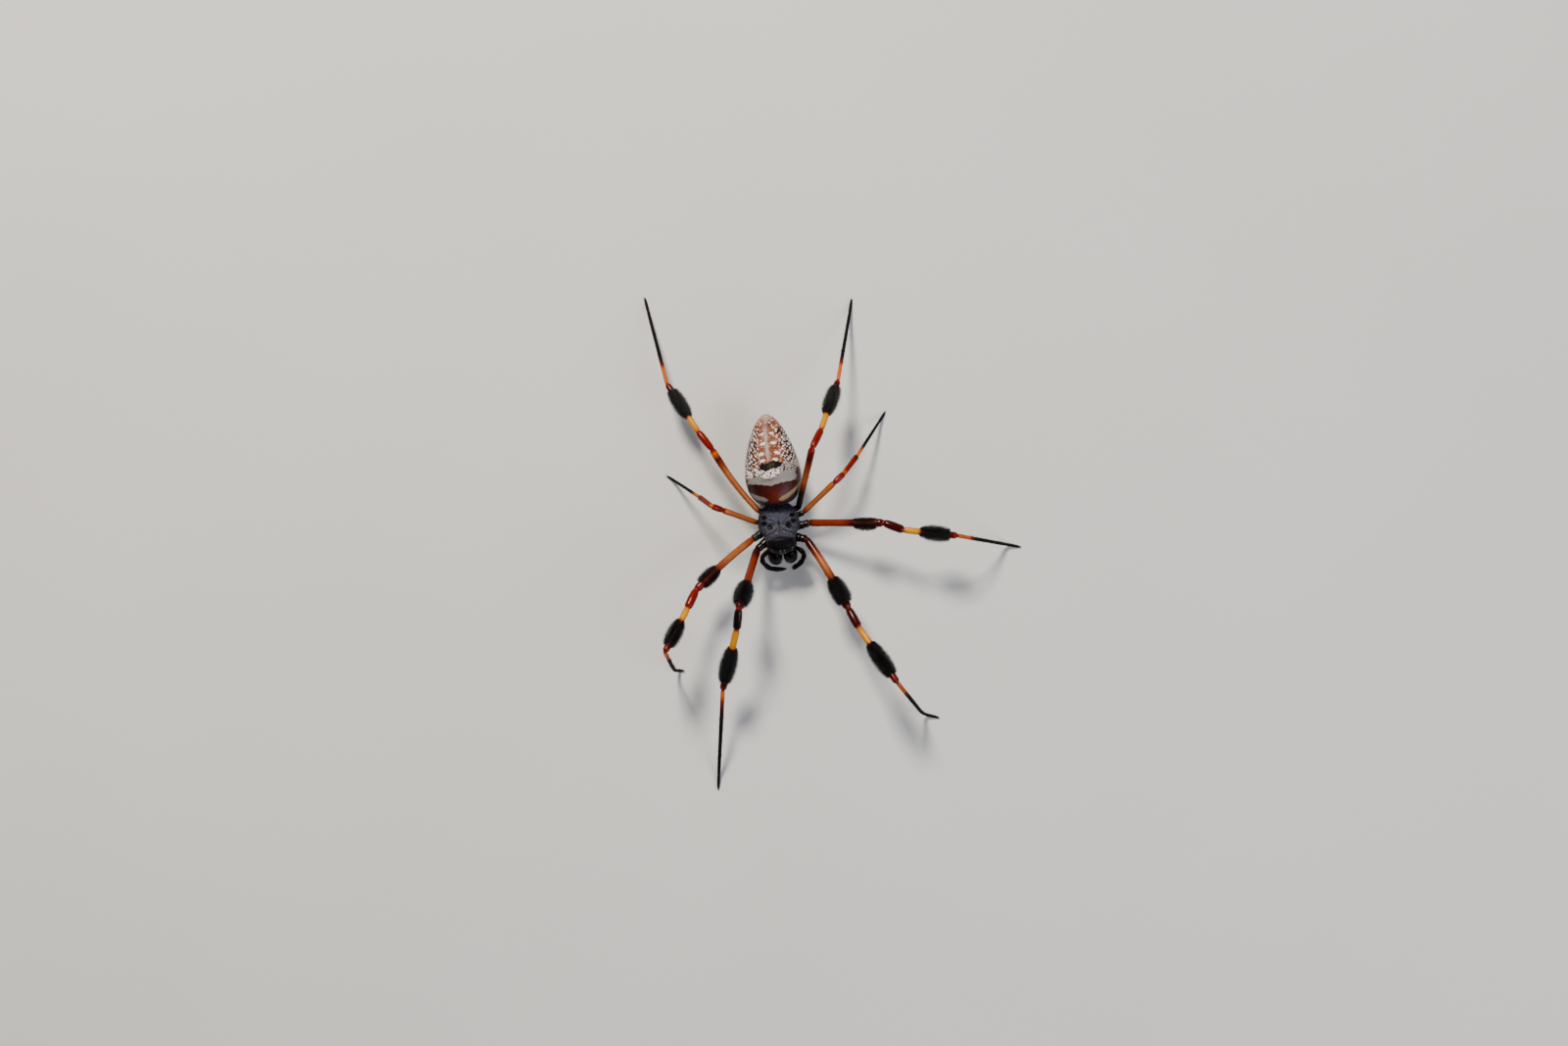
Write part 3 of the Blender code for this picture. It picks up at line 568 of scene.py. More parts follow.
def read(mesh, kind):
    """Each vertex's share along the skin, its normal, or its place in millimetres of the body."""
    if kind == "along":
        values = np.zeros(len(mesh.vertices), np.float32)
        mesh.attributes["along"].data.foreach_get("value", values)
        return values.astype(float)
    vectors = np.zeros(len(mesh.vertices) * 3, np.float32)
    mesh.vertices.foreach_get("co" if kind == "place" else kind, vectors)
    vectors = vectors.reshape(-1, 3).astype(float)
    return (vectors - np.array(ORIGIN)) / MM if kind == "place" else vectors


def paint(mesh, tints):
    """Keeps a colour at each vertex."""
    layer = mesh.attributes.new("tint", "FLOAT_COLOR", "POINT")
    full = np.column_stack((tints, np.ones(len(tints)))).astype(np.float32)
    layer.data.foreach_set("color", full.ravel())


def banded(values, bands):
    """Colours between named colours at given values."""
    knots = [at for at, _ in bands]
    table = np.array([colour(name) for _, name in bands])
    return np.column_stack([np.interp(values, knots, channel) for channel in table.T])


def blended(under, over, share):
    return under * (1 - share[:, None]) + over * share[:, None]


def plain(name, count):
    """The same colour for a count of vertices."""
    return np.tile(colour(name), (count, 1))


def layered(tints, *layers):
    """Colours under layers of named ones, each with its cover from 0 to 1."""
    for name, cover in layers:
        tints = blended(tints, colour(name), cover)
    return tints


def add_tube(name, shape, material, rows, around, replaced=(), base="jet", over=None):
    """Adds a small skin of a base colour, and one over it whose cover grows along it.

    over is that colour, the shares along between which its cover grows, and the most it reaches.
    """
    mesh = wrapped(name, shape, np.linspace(0, 1, rows), around)
    along = read(mesh, "along")
    tints = plain(base, len(along))
    if over:
        tint, low, high, most = over
        tints = layered(tints, (tint, smooth(low, high, along) * most))
    paint(mesh, tints)
    add_piece(name, mesh, material, replaced)


# Hair

# The lowest that hair reaches, in millimetres
ABOVE_FLOOR = 0.01

# How deep a root sits in the skin, as a share of its hair's width
ROOT_SINK = 0.6
# The places that are tried to find where a skin is stretched most, and the allowance above that
PROBES = 4000
STRETCH_ALLOWANCE = 1.15
# The size of a hair's patch of the map for baking, as a share of the map
PATCH_SIZE = 0.003


def scattered(count):
    """Evenly spread pairs of shares, the same each time."""
    index = np.arange(1, count + 1)[:, None]
    return (index * (0.7548776662, 0.5698402910)) % 1.0


def roots_on(shape, density, most, draw):
    """Roots spread over a skin: share along, share round, place, outward and lengthwise directions.

    density gives hairs on a square millimetre from share along, share round and place, and most
    is its greatest value. Without it the hair is as dense as that everywhere.
    """
    nudge = 1e-4

    def slopes(along, turn):
        ahead = shape(np.minimum(along + nudge, 1), turn) - shape(np.maximum(along - nudge, 0), turn)
        return ahead / (2 * nudge), (shape(along, turn + nudge) - shape(along, turn - nudge)) / (2 * nudge)

    ahead, aside = slopes(*scattered(PROBES).T)
    largest = STRETCH_ALLOWANCE * np.linalg.norm(np.cross(ahead, aside), axis=1).max()
    along, turn = scattered(int(largest * most) + 1).T
    ahead, aside = slopes(along, turn)
    normals = np.cross(ahead, aside)
    area = np.linalg.norm(normals, axis=1)
    places = shape(along, turn)
    wanted = density(along, turn, places) if density else most
    kept = draw.random(len(along)) < wanted * area / (largest * most)
    along, turn, places, ahead, normals = (item[kept] for item in (along, turn, places, ahead, normals))
    outward = places - shape(along, (turn + 0.5) % 1.0)
    normals *= np.sign(np.sum(normals * outward, axis=1))[:, None]
    return along, turn, places, unit(normals), unit(ahead)


def hair_mesh(name, roots, aims, lengths, widths, bends, tints, patches, parts=2):
    """Three-sided tapering hairs in one mesh, each a small patch of the map for baking."""
    helper = np.where(np.abs(aims[:, 2:]) < 0.9, (0.0, 0.0, 1.0), (1.0, 0.0, 0.0))
    across = unit(np.cross(aims, helper))
    beside = np.cross(aims, across)
    corners, offsets = [], []
    for part in range(parts):
        step = part / parts
        middle = roots + aims * (lengths * step)[:, None] + bends * (lengths * step**2)[:, None]
        radius = (widths / 2 * (1 - 0.5 * step))[:, None]
        for corner in range(3):
            angle = 2 * math.pi * corner / 3
            corners.append(middle + (across * math.cos(angle) + beside * math.sin(angle)) * radius)
            offsets.append((corner / 2 - 0.5, step - 0.5))
    corners.append(roots + (aims + bends) * lengths[:, None])
    offsets.append((0.0, 0.5))
    places = np.stack(corners, axis=1)
    places[:, :, 2] = np.maximum(places[:, :, 2], ABOVE_FLOOR)
    faces = [(0, 2, 1)]
    for part in range(parts):
        low, high = part * 3, part * 3 + 3
        for corner in range(3):
            following = (corner + 1) % 3
            if part == parts - 1:
                faces.append((low + corner, low + following, high))
            else:
                faces.append((low + corner, low + following, high + following))
                faces.append((low + corner, high + following, high + corner))
    each = len(offsets)
    starts = np.arange(len(roots))[:, None, None] * each
    faces = (np.array(faces)[None] + starts).reshape(-1, 3)
    places = places.reshape(-1, 3) * MM + np.array(ORIGIN)
    mesh = bpy.data.meshes.new(name)
    mesh.vertices.add(len(places))
    mesh.vertices.foreach_set("co", places.astype(np.float32).ravel())
    mesh.loops.add(faces.size)
    mesh.loops.foreach_set("vertex_index", faces.astype(np.int32).ravel())
    mesh.polygons.add(len(faces))
    mesh.polygons.foreach_set("loop_start", np.arange(0, faces.size, 3, dtype=np.int32))
    mesh.update(calc_edges=True)
    paint(mesh, np.repeat(tints, each, axis=0))
    spots = np.clip(patches[:, None, :], PATCH_SIZE, 1 - PATCH_SIZE) + np.array(offsets)[None] * PATCH_SIZE
    layer = mesh.uv_layers.new(name="OFBake")
    layer.data.foreach_set("uv", spots.reshape(-1, 2)[faces.ravel()].astype(np.float32).ravel())
    return mesh


def add_coat(name, shape, styled, material, seed, most, density=None, parts=2):
    """Adds hair on a skin. styled gives, from the roots, aims, lengths, widths, bends and colours."""
    draw = np.random.default_rng(SEED + seed)
    along, turn, places, normals, ahead = roots_on(shape, density, most, draw)
    aims, lengths, widths, bends, tints = styled(along, turn, places, normals, ahead, draw)
    roots = places - normals * (widths * ROOT_SINK)[:, None]
    patches = np.column_stack((turn, along))
    mesh = hair_mesh(name, roots, unit(aims), lengths, widths, bends, tints, patches, parts)
    add_piece(name, mesh, material)


def strayed(normals, ahead, stand, stray, draw):
    """Directions that stand up from the skin by an angle in degrees and lean ahead, with some stray."""
    aside = np.cross(normals, ahead)
    stands = np.radians(stand + draw.normal(0, stray, len(normals)))[:, None]
    turned = np.radians(draw.normal(0, stray * 1.3, len(normals)))[:, None]
    lean = ahead * np.cos(turned) + aside * np.sin(turned)
    return unit(normals * np.sin(stands) + lean * np.cos(stands))


# Materials

# What the mottle multiplies a colour by, and the grain the roughness
DARKEST, LIGHTEST = 0.72, 1.28
SMOOTHEST, ROUGHEST = 0.75, 1.25
# How much rougher the skin is where it is dull
DULL_ROUGHNESS = 0.5


def add_node(tree, kind, settings=None, **inputs):
    """Adds a node, with its own settings, and a plain value or a link for each input."""
    node = tree.nodes.new(kind)
    for name, value in (settings or {}).items():
        setattr(node, name, value)
    for name, value in inputs.items():
        key = int(name[1:]) if name[1:].isdigit() else name.replace("_", " ")
        if isinstance(value, bpy.types.NodeSocket):
            tree.links.new(value, node.inputs[key])
        else:
            node.inputs[key].default_value = value
    return node


def per_metre(size):
    """The scale of a pattern whose features are a size in millimetres apart."""
    return 1 / (size * MM)


def surface(name, roughness, ior=1.55, **plain_values):
    """A new material, its node tree and its Principled shader, with plain values on its sockets."""
    made = bpy.data.materials.new(name)
    made.use_nodes = True
    shader = made.node_tree.nodes["Principled BSDF"]
    for key, value in {"Roughness": roughness, "IOR": ior, **plain_values}.items():
        shader.inputs[key.replace("_", " ")].default_value = value
    return made, made.node_tree, shader


def painted_cuticle(name, roughness, mottle, grain, grain_depth, ior=1.56, **plain_values):
    """Hardened cuticle, coloured from its tint, with a mottle and a fine grain of given sizes."""
    made, tree, shader = surface(name, roughness, ior, **plain_values)
    where = add_node(tree, "ShaderNodeTexCoord").outputs["Object"]
    tint = add_node(tree, "ShaderNodeAttribute", {"attribute_name": "tint"}).outputs["Color"]
    dull = add_node(tree, "ShaderNodeAttribute", {"attribute_name": "dull"}).outputs["Fac"]
    blotch = add_node(tree, "ShaderNodeTexNoise", Vector=where, Scale=per_metre(mottle), Detail=4.0)
    fine = add_node(tree, "ShaderNodeTexNoise", Vector=where, Scale=per_metre(grain), Detail=3.0)

    outputs = {}
    for key, noise, low, high in (
        ("shade", blotch, DARKEST, LIGHTEST),
        ("polish", fine, roughness * SMOOTHEST, roughness * ROUGHEST),
    ):
        height = noise.outputs["Fac"]
        ranged = add_node(tree, "ShaderNodeMapRange", Value=height, To_Min=low, To_Max=high)
        outputs[key] = ranged.outputs["Result"]
    scaled, summed = {"operation": "SCALE"}, {"operation": "MULTIPLY_ADD"}
    mixed = add_node(tree, "ShaderNodeVectorMath", scaled, _0=tint, Scale=outputs["shade"])
    rough = add_node(tree, "ShaderNodeMath", summed, _0=dull, _1=DULL_ROUGHNESS, _2=outputs["polish"])
    bump = add_node(tree, "ShaderNodeBump", Distance=grain_depth * MM, Height=fine.outputs["Fac"])
    tree.links.new(mixed.outputs["Vector"], shader.inputs["Base Color"])
    tree.links.new(rough.outputs["Value"], shader.inputs["Roughness"])
    tree.links.new(bump.outputs["Normal"], shader.inputs["Normal"])
    return made


def clouded(name, roughness, ior, cloud_size, dark, light, **plain_values):
    """A material whose colour drifts between two, in clouds of a given size."""
    made, tree, shader = surface(name, roughness, ior, **plain_values)
    where = add_node(tree, "ShaderNodeTexCoord").outputs["Object"]
    cloud = add_node(tree, "ShaderNodeTexNoise", Vector=where, Scale=per_metre(cloud_size), Detail=2.0)
    ramp = add_node(tree, "ShaderNodeValToRGB", Fac=cloud.outputs["Fac"])
    for element, code in zip(ramp.color_ramp.elements, (dark, light)):
        element.color = (*linear(code), 1.0)
    tree.links.new(ramp.outputs["Color"], shader.inputs["Base Color"])
    return made


@cache
def leg_cuticle():
    """Thin, hard, clear-toned chitin: wet-looking streaks of light, and light that soaks in."""
    return painted_cuticle(
        "Leg cuticle, sclerotised chitin", roughness=0.2, mottle=0.9, grain=0.14, grain_depth=0.006,
        ior=1.42, Specular_IOR_Level=0.28, Subsurface_Weight=0.04,
        Subsurface_Radius=(1.0, 0.3, 0.08), Subsurface_Scale=0.5 * MM,
    )


@cache
def shield_cuticle():
    """Thick dark chitin of the thorax, dulled by the sockets of its down."""
    return painted_cuticle(
        "Thorax cuticle, dark chitin", roughness=0.42, mottle=0.7, grain=0.07, grain_depth=0.006,
        Specular_IOR_Level=0.06,
    )


@cache
def jaw_cuticle():
    """The hardest chitin, almost black and polished like lacquer, with shallow cross wrinkles."""
    return painted_cuticle(
        "Jaw cuticle, lacquer-black chitin", roughness=0.22, mottle=0.6, grain=0.1, grain_depth=0.006,
        Specular_IOR_Level=0.05,
    )


@cache
def abdomen_skin():
    """Soft, leathery cuticle stretched over the silk glands: satin, with a fine pebble."""
    return painted_cuticle(
        "Abdomen skin, leathery cuticle", roughness=0.36, mottle=1.1, grain=0.13, grain_depth=0.014,
        Specular_IOR_Level=0.18, Subsurface_Weight=0.10,
        Subsurface_Radius=(1.0, 0.4, 0.25), Subsurface_Scale=0.4 * MM,
    )


@cache
def bristle():
    """Stiff chitin hairs: black, with a hard glint along the side that meets the light."""
    return painted_cuticle(
        "Bristles, black chitin hair", roughness=0.34, mottle=0.8, grain=0.3, grain_depth=0.004
    )


@cache
def short_hair():
    """Fine hair that lies close, and is duller than the bristles because it lies every way."""
    return painted_cuticle(
        "Short hair, fine chitin hair", roughness=0.6, mottle=0.8, grain=0.3, grain_depth=0.004,
        Specular_IOR_Level=0.02,
    )


@cache
def down():
    """Flat, silvery hairs that scatter light like frayed silk."""
    return painted_cuticle(
        "Down, silver hair", roughness=0.48, mottle=0.9, grain=0.3, grain_depth=0.004,
        Sheen_Weight=0.3, Sheen_Roughness=0.4,
    )


@cache
def eye_lens():
    """Cuticle polished to a clear lens over a dark cup."""
    return clouded(
        "Eye lens, clear cuticle", roughness=0.06, ior=1.52, cloud_size=0.3, dark="070506", light="1A0F0B",
        Coat_Weight=1.0, Coat_Roughness=0.02,
    )


@cache
def studio_floor():
    """Matte, pale painted board."""
    return clouded(
        "Floor, matte painted board", roughness=0.7, ior=1.45, cloud_size=60.0, dark="E0DFDA", light="E8E7E3"
    )


# Legs

# The middle line of a claw: how far ahead of the tip, how far apart and how far above it
CLAW_HOOK = ((-0.25, 0.6, 0.04), (0.02, 1.0, 0.10), (0.22, 1.3, 0.08), (0.33, 1.4, -0.10))
CLAW_RADII = (0.07, 0.07, 0.05, 0.012)
CLAWS_APART = {"outer": 0.09, "inner": -0.09}


def leg_name(number, side):
    return f"leg_{number}_{side}"


def all_legs():
    return [(number, side) for number in LEG_LENGTHS for side in SIDES]


def dullness(number, places):
    """Where a brush or the short hair of the foot hides the gloss of a leg, from 0 to 1."""
    dull = smooth(4.0, 4.1, places)
    for kind, owner in BRUSHES:
        if owner == number:
            start, end = (SEGMENTS.index(kind) + share for share in BRUSHES[kind, owner][:2])
            brushed = smooth(start - 0.02, start + 0.02, places) * smooth(end, end - 0.04, places)
            dull = np.maximum(dull, brushed)
    return dull


def make_leg_skin(number, side):
    shape, place_at = leg_shape(number, side)
    name = leg_name(number, side)
    rows = np.linspace(0, 1, int(sum(LEG_LENGTHS[number]) / ROW_STEP))
    mesh = wrapped(f"{name}_skin", shape, rows, LEG_SIDES)
    places = place_at(read(mesh, "along"))
    dull = mesh.attributes.new("dull", "FLOAT", "POINT")
    dull.data.foreach_set("value", dullness(number, places).astype(np.float32))
    tints = banded(places, leg_bands(number, side))
    # Painted shade: the flanks and underside of each leg are painted darker and redder than its top
    painted_shade = smooth(0.85, 0.15, read(mesh, "normal")[:, 2])
    paint(mesh, blended(tints, tints * PAINTED_FLANK_SHADE, painted_shade))
    nodes = [f"{name}_{part}" for part in ("coxa", "femur", "patella", "tibia", "foot")]
    add_piece(f"{name}_skin", mesh, leg_cuticle(), nodes)


def make_claws(number, side):
    """The pair of small hooked claws at the tip of a leg."""
    ankle, tip = leg_joints(number, side)[-2:]
    ahead = Vector((tip.x - ankle.x, tip.y - ankle.y, 0)).normalized()
    aside = Vector((-ahead.y, ahead.x, 0))
    for name, apart in CLAWS_APART.items():
        hook = [ahead * out + aside * apart * wide + Vector((0, 0, lift)) for out, wide, lift in CLAW_HOOK]
        shape = course_tube([tip + place for place in hook], CLAW_RADII, softness=10)
        add_tube(f"{leg_name(number, side)}_claw_{name}", shape, jaw_cuticle(), rows=9, around=6)


def brush_radius(brush, share, radius):
    """The radius out to the tips of a brush, a spindle that rises fast at its root."""
    start, end, tip_radius = brush
    along = np.clip((share - start) / (end - start), 0.0, 1.0)
    return radius + (tip_radius - radius) * np.sin(np.pi * along**0.85) ** 0.42


def make_brush(kind, number, side):
    """The black bottle brush round a femur or tibia."""
    shape, place_at = leg_shape(number, side)
    brush = BRUSHES[kind, number]
    start, end = brush[:2]
    index = SEGMENTS.index(kind)
    full = LEG_RADII[number][index]
    bare = BARE_BACKS.get((kind, number), 0.0)
    most = sizes().bristles

    def density(along, turn, places):
        share = place_at(along) - index
        line = bare * hump(turn - 0.25, BARE_LINE_WIDTH)
        return most * ((share > start - 0.02) & (share < end - 0.03)) * (1 - line)

    def styled(along, turn, places, normals, ahead, draw):
        count = len(along)
        reach = brush_radius(brush, place_at(along) - index + 0.02, full) - full * 0.95
        if (kind, number, side) == THIN_SIDE:
            reach = reach * (1 - 0.6 * smooth(0.2, 0.8, -circled(turn)[0]))
        lean = draw.uniform(0.25, 0.75, count)
        lengths = np.maximum(reach, 0.25) * (0.72 + 0.42 * draw.random(count)) * np.hypot(1, lean)
        aims = unit(normals + ahead * lean[:, None] + draw.normal(0, 0.12, normals.shape))
        widths = sizes().bristle_width / MM * draw.uniform(0.8, 1.2, count)
        bends = ahead * draw.uniform(0.0, 0.15, count)[:, None]
        tints = colour("jet") * draw.uniform(0.6, 1.6, count)[:, None]
        return aims, lengths, widths, bends, tints

    seed = number * 10 + index + MIRRORS[side]
    name = f"{leg_name(number, side)}_{kind}_brush"
    add_coat(name, shape, styled, bristle(), seed, most, density)


def make_leg_hair(number, side):
    """Short hair all along a leg with a few spines, dense and black towards the foot."""
    most = sizes().foot_hairs
    shape, place_at = leg_shape(number, side)

    def density(along, turn, places):
        return np.interp(place_at(along), (0.5, 1.0, 1.5, 3.0, 4.2, 4.4, 6.0), (14, 8, 6, 7, 9, most, most))

    def styled(along, turn, places, normals, ahead, draw):
        place = place_at(along)
        count = len(along)
        shorter = np.interp(place, (1, 4, 4.4, 6), (1.0, 0.9, 0.6, 0.5))
        spine = (draw.random(count) < 0.012) & (place > 1.1) & (place < 4.9)
        lengths = sizes().hair_length / MM * shorter * draw.uniform(0.6, 1.2, count) * (1 + 2.2 * spine)
        widths = sizes().hair_width / MM * draw.uniform(0.8, 1.2, count) * (1 + 1.6 * spine)
        dark = np.maximum(smooth(4.2, 4.5, place) * 0.5 + 0.5, spine)
        tints = layered(banded(place, leg_bands(number, side)), ("jet", dark))
        stand = np.interp(place, (4, 4.4), (26, 18))
        aims = strayed(normals, ahead, stand, stray=8, draw=draw)
        aims = unit(aims + normals * spine[:, None] * 0.6)
        return aims, lengths, widths, -normals * 0.15, tints

    seed = 200 + number * 2 + MIRRORS[side]
    name = f"{leg_name(number, side)}_hair"
    add_coat(name, shape, styled, short_hair(), seed, most, density, parts=1)


# Head, thorax and mouth


def pit_distances(x, y):
    """The distance from each pair of pits, counted in its radius."""
    return [np.hypot(np.abs(x) - middle, (y - back) * 1.1) / radius for middle, back, radius in PITS]


def shield_colours(places):
    """Dark under the down, black on the head, along the middle and in the pits, with painted shadow at the
    rear under the abdomen.
    """
    x, y, z = places.T
    tints = layered(
        plain("shield", len(places)),
        ("jet", smooth(-1.7, -2.5, y + 0.25 * np.abs(x))),
        ("jet", spot(x, y, 0, -0.3, 0.22, 1.3) * 0.8),
        # Painted shadow: the rear of the thorax, under the front of the abdomen, is darkened
        ("jet", smooth(2.4, 3.6, y) * 0.85),
    )
    for distance in pit_distances(x, y):
        tints = blended(tints, colour("jet") * 0.5, smooth(1.4, 0.95, distance))
    return layered(tints, ("jet", smooth(RIM_Z + 0.1, RIM_Z - 0.5, z) * 0.8))


def make_shield():
    rows = (1 - np.cos(np.linspace(0, math.pi, 151))) / 2
    mesh = wrapped("carapace", shield_shape, rows, around=160)
    paint(mesh, shield_colours(read(mesh, "place")))
    add_piece("carapace", mesh, shield_cuticle(), ["cephalothorax"])


def make_shield_down():
    most = sizes().down

    def density(along, turn, places):
        x, y, z = places.T
        cover = smooth(RIM_Z - 0.1, RIM_Z + 0.6, z) * smooth(-2.7, -1.8, y + 0.3 * np.abs(x))
        # The down thins at the rear, where the thorax is painted in shadow, and along the middle
        cover = cover * (1 - 0.8 * smooth(2.2, 3.4, y)) * (1 - 0.8 * spot(x, y, 0, -0.3, 0.2, 1.2))
        for distance in pit_distances(x, y):
            cover = cover * smooth(1.0, 1.35, distance)
        return most * np.maximum(cover, 0.03)

    def styled(along, turn, places, normals, ahead, draw):
        count = len(along)
        inward = unit(ahead * 0.9 - places * (0.12, 0.0, 0.0))
        aims = strayed(normals, inward, stand=17, stray=8, draw=draw)
        lengths = sizes().down_length / MM * draw.uniform(0.7, 1.25, count)
        widths = sizes().hair_width / MM * draw.uniform(0.7, 1.3, count)
        headward = smooth(-1.7, -2.6, places[:, 1] + 0.25 * np.abs(places[:, 0]))
        tints = blended(plain("silver", count), colour("jet") * 2, headward)
        tints = tints * draw.uniform(0.3, 1.1, count)[:, None]
        return aims, lengths, widths, -normals * 0.2, tints

    add_coat("carapace_down", shield_shape, styled, down(), 301, most, density, parts=1)


def make_eyes():
    for side in SIDES:
        for place in ("front_middle", "rear_middle", "front_side", "rear_side"):
            node = f"eye_{place}_{side}"
            low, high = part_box(node)
            bm = bmesh.new()
            where = Matrix.Translation((low + high) / 2)
            bmesh.ops.create_uvsphere(
                bm, u_segments=28, v_segments=18, radius=(high.z - low.z) / 2, matrix=where
            )
            mesh = bpy.data.meshes.new(f"{node}_lens")
            bm.to_mesh(mesh)
            bm.free()
            add_piece(f"{node}_lens", mesh, eye_lens(), [node])


def mirrored(places, mirror):
    return [(x * mirror, y, z) for x, y, z in places]


def make_jaws():
    """The two stout jaws with their folded fangs."""
    jaw = ((1.25, -4.7, 7.7), (1.50, -5.6, 7.2), (1.52, -6.2, 6.35))
    jaw += ((1.45, -6.6, 5.2), (1.34, -6.8, 4.2), (1.22, -6.9, 3.4))
    jaw_radii = (0.8, 1.30, 1.40, 1.30, 1.10, 0.72)
    fang = ((1.30, -6.85, 3.7), (1.26, -6.95, 3.0), (0.98, -6.8, 2.6))
    fang += ((0.62, -6.45, 2.5), (0.32, -6.05, 2.62))
    fang_radii = (0.34, 0.33, 0.25, 0.15, 0.03)
    for side in SIDES:
        node = f"chelicera_{side}"
        shape = course_tube(mirrored(jaw, MIRRORS[side]), jaw_radii)
        add_tube(f"{node}_shell", shape, jaw_cuticle(), rows=90, around=48, replaced=[node])
        folded = f"fang_{side}"
        add_tube(
            f"{folded}_shell", course_tube(mirrored(fang, MIRRORS[side]), fang_radii), jaw_cuticle(),
            rows=50, around=20, replaced=[folded], over=("garnet", 0.3, 1.0, 1.0),
        )
        make_stubble(f"{node}_hair", shape, 401 + MIRRORS[side], density=9, length=0.5)


def make_stubble(name, shape, seed, density, length):
    """Short black hair that stands out from a small piece."""

    def styled(along, turn, places, normals, ahead, draw):
        count = len(along)
        aims = strayed(normals, ahead, stand=40, stray=12, draw=draw)
        lengths = length * draw.uniform(0.5, 1.3, count)
        widths = sizes().hair_width / MM * draw.uniform(0.8, 1.3, count)
        tints = colour("jet") * draw.uniform(0.8, 2.0, count)[:, None]
        return aims, lengths, widths, -normals * 0.1, tints

    add_coat(name, shape, styled, short_hair(), seed, most=density)


def palp_course(mirror):
    """The short feeler bent round in front of the jaws, and the radius at each place."""
    reach = 0.0 if mirror > 0 else 1.0
    course = (
        ((1.70, -4.00, 5.30), 0.50),
        ((2.30, -4.75, 5.40), 0.48),
        ((2.95, -5.10, 5.85), 0.34),
        ((3.45, -5.42, 6.20), 0.44),
        ((3.95, -5.90, 6.42), 0.45),
        ((4.12, -6.25, 6.42), 0.34),
        ((4.15, -6.70, 6.32), 0.46),
        ((3.95, -7.15, 6.12), 0.40),
        ((3.75, -7.45, 5.95), 0.36),
        ((3.42, -7.85, 5.66), 0.45),
        ((3.05, -8.20, 5.40), 0.44),
        ((2.70, -8.42, 5.18), 0.36),
        ((2.15 - reach * 0.40, -8.65, 4.92), 0.45),
        ((1.95 - reach * 0.95, -8.76, 4.74), 0.40),
        ((1.75 - reach * 1.45, -8.82, 4.58), 0.28),
        ((1.55 - reach * 1.95, -8.84, 4.42), 0.10),
    )
    return mirrored([place for place, _ in course], mirror), [radius for _, radius in course]


def make_palps():
    for side in SIDES:
        node = f"palp_{side}"
        places, radii = palp_course(MIRRORS[side])
        shape = course_tube(places, radii, softness=40)
        add_tube(
            f"{node}_skin", shape, jaw_cuticle(), rows=140, around=24, replaced=[node],
            over=("garnet", 0.35, 0.15, 0.7),
        )
        make_stubble(f"{node}_hair", shape, 411 + MIRRORS[side], density=70, length=0.36)


def make_mouth_lobes():
    """The two lobes beside the lip, under the roots of the palps."""
    lobe = ((1.45, -3.30, 5.00), (1.15, -3.95, 4.80), (0.72, -4.55, 4.72), (0.55, -4.85, 4.75))
    for side in SIDES:
        name = f"mouth_lobe_{side}"
        shape = course_tube(mirrored(lobe, MIRRORS[side]), (0.42, 0.56, 0.50, 0.24))
        add_tube(name, shape, jaw_cuticle(), rows=40, around=24, over=("rust", 0.6, 1.0, 0.6))
        make_stubble(f"{name}_hair", shape, 421 + MIRRORS[side], density=40, length=0.30)


def sternum_half_width(y):
    """The outline of the plate underneath: the lip, then points between the roots of the legs."""
    knots = (-4.1, -4.0, -3.6, -3.15, -3.0, -2.85, -2.3, -1.75, -0.85, 0.0, 0.9, 1.65, 2.4, 2.8, 2.9)
    widths = (0.0, 0.45, 0.86, 0.95, 0.84, 1.55, 2.0, 2.35, 2.15, 2.45, 2.0, 2.1, 1.2, 0.5, 0.0)
    return np.interp(y, knots, widths)


def sternum_shape(along, turn):
    """The shield-shaped plate underneath, with a low bump opposite each leg and the lip in front."""
    y = STERNUM_REAR + (STERNUM_FRONT - STERNUM_REAR) * along
    closing = rounding(np.minimum(STERNUM_REAR - y, y - STERNUM_FRONT), 0.4)
    across, level = circled(turn)
    x = sternum_half_width(y) * across
    z = BELLY_Z - 0.43 + 0.28 * level * closing
    for middle_x, middle_y in HIP_PLACES.values():
        z -= 0.16 * spot(np.abs(x), y, middle_x * 0.6, middle_y * 0.85, 0.34, 0.30) * (level < 0)
    z += 0.12 * hump(y + 3.0, 0.10) * (level < 0)
    return np.column_stack((x, y, z))


def make_sternum():
    mesh = wrapped("sternum_plate", sternum_shape, np.linspace(0, 1, 100), around=64)
    x, y, _ = read(mesh, "place").T
    to_edge = np.abs(x) / np.maximum(sternum_half_width(y), 0.05)
    middle = ("rust", spot(x, y, 0, -0.2, 0.45, 1.9) * 0.5)
    paint(mesh, layered(plain("garnet", len(x)), middle, ("jet", smooth(0.35, 0.85, to_edge))))
    add_piece("sternum_plate", mesh, shield_cuticle(), ["sternum"])


# Abdomen


def hashed(cells, salt):
    """A number from 0 to 1 for each cell, the same each time."""
    return (np.sin(cells[:, 0] * 127.1 + cells[:, 1] * 311.7 + salt * 74.7) * 43758.5453) % 1.0


def dotted(u, v, stretch, small, large, salt):
    """Cover from 0 to 1 by one oval dot in each cell of a unit grid, shaken from its middle."""
    cover = np.zeros(len(u))
    base = np.floor(np.column_stack((u, v)))
    for across in (-1, 0, 1):
        for beyond in (-1, 0, 1):
            cell = base + (across, beyond)
            middle = cell + 0.5 + 0.5 * (np.column_stack((hashed(cell, salt), hashed(cell, salt + 1))) - 0.5)
            radius = small + (large - small) * hashed(cell, salt + 2)
            away = np.hypot((u - middle[:, 0]) / stretch, v - middle[:, 1]) / radius
            cover = np.maximum(cover, smooth(1.15, 0.85, away))
    return cover


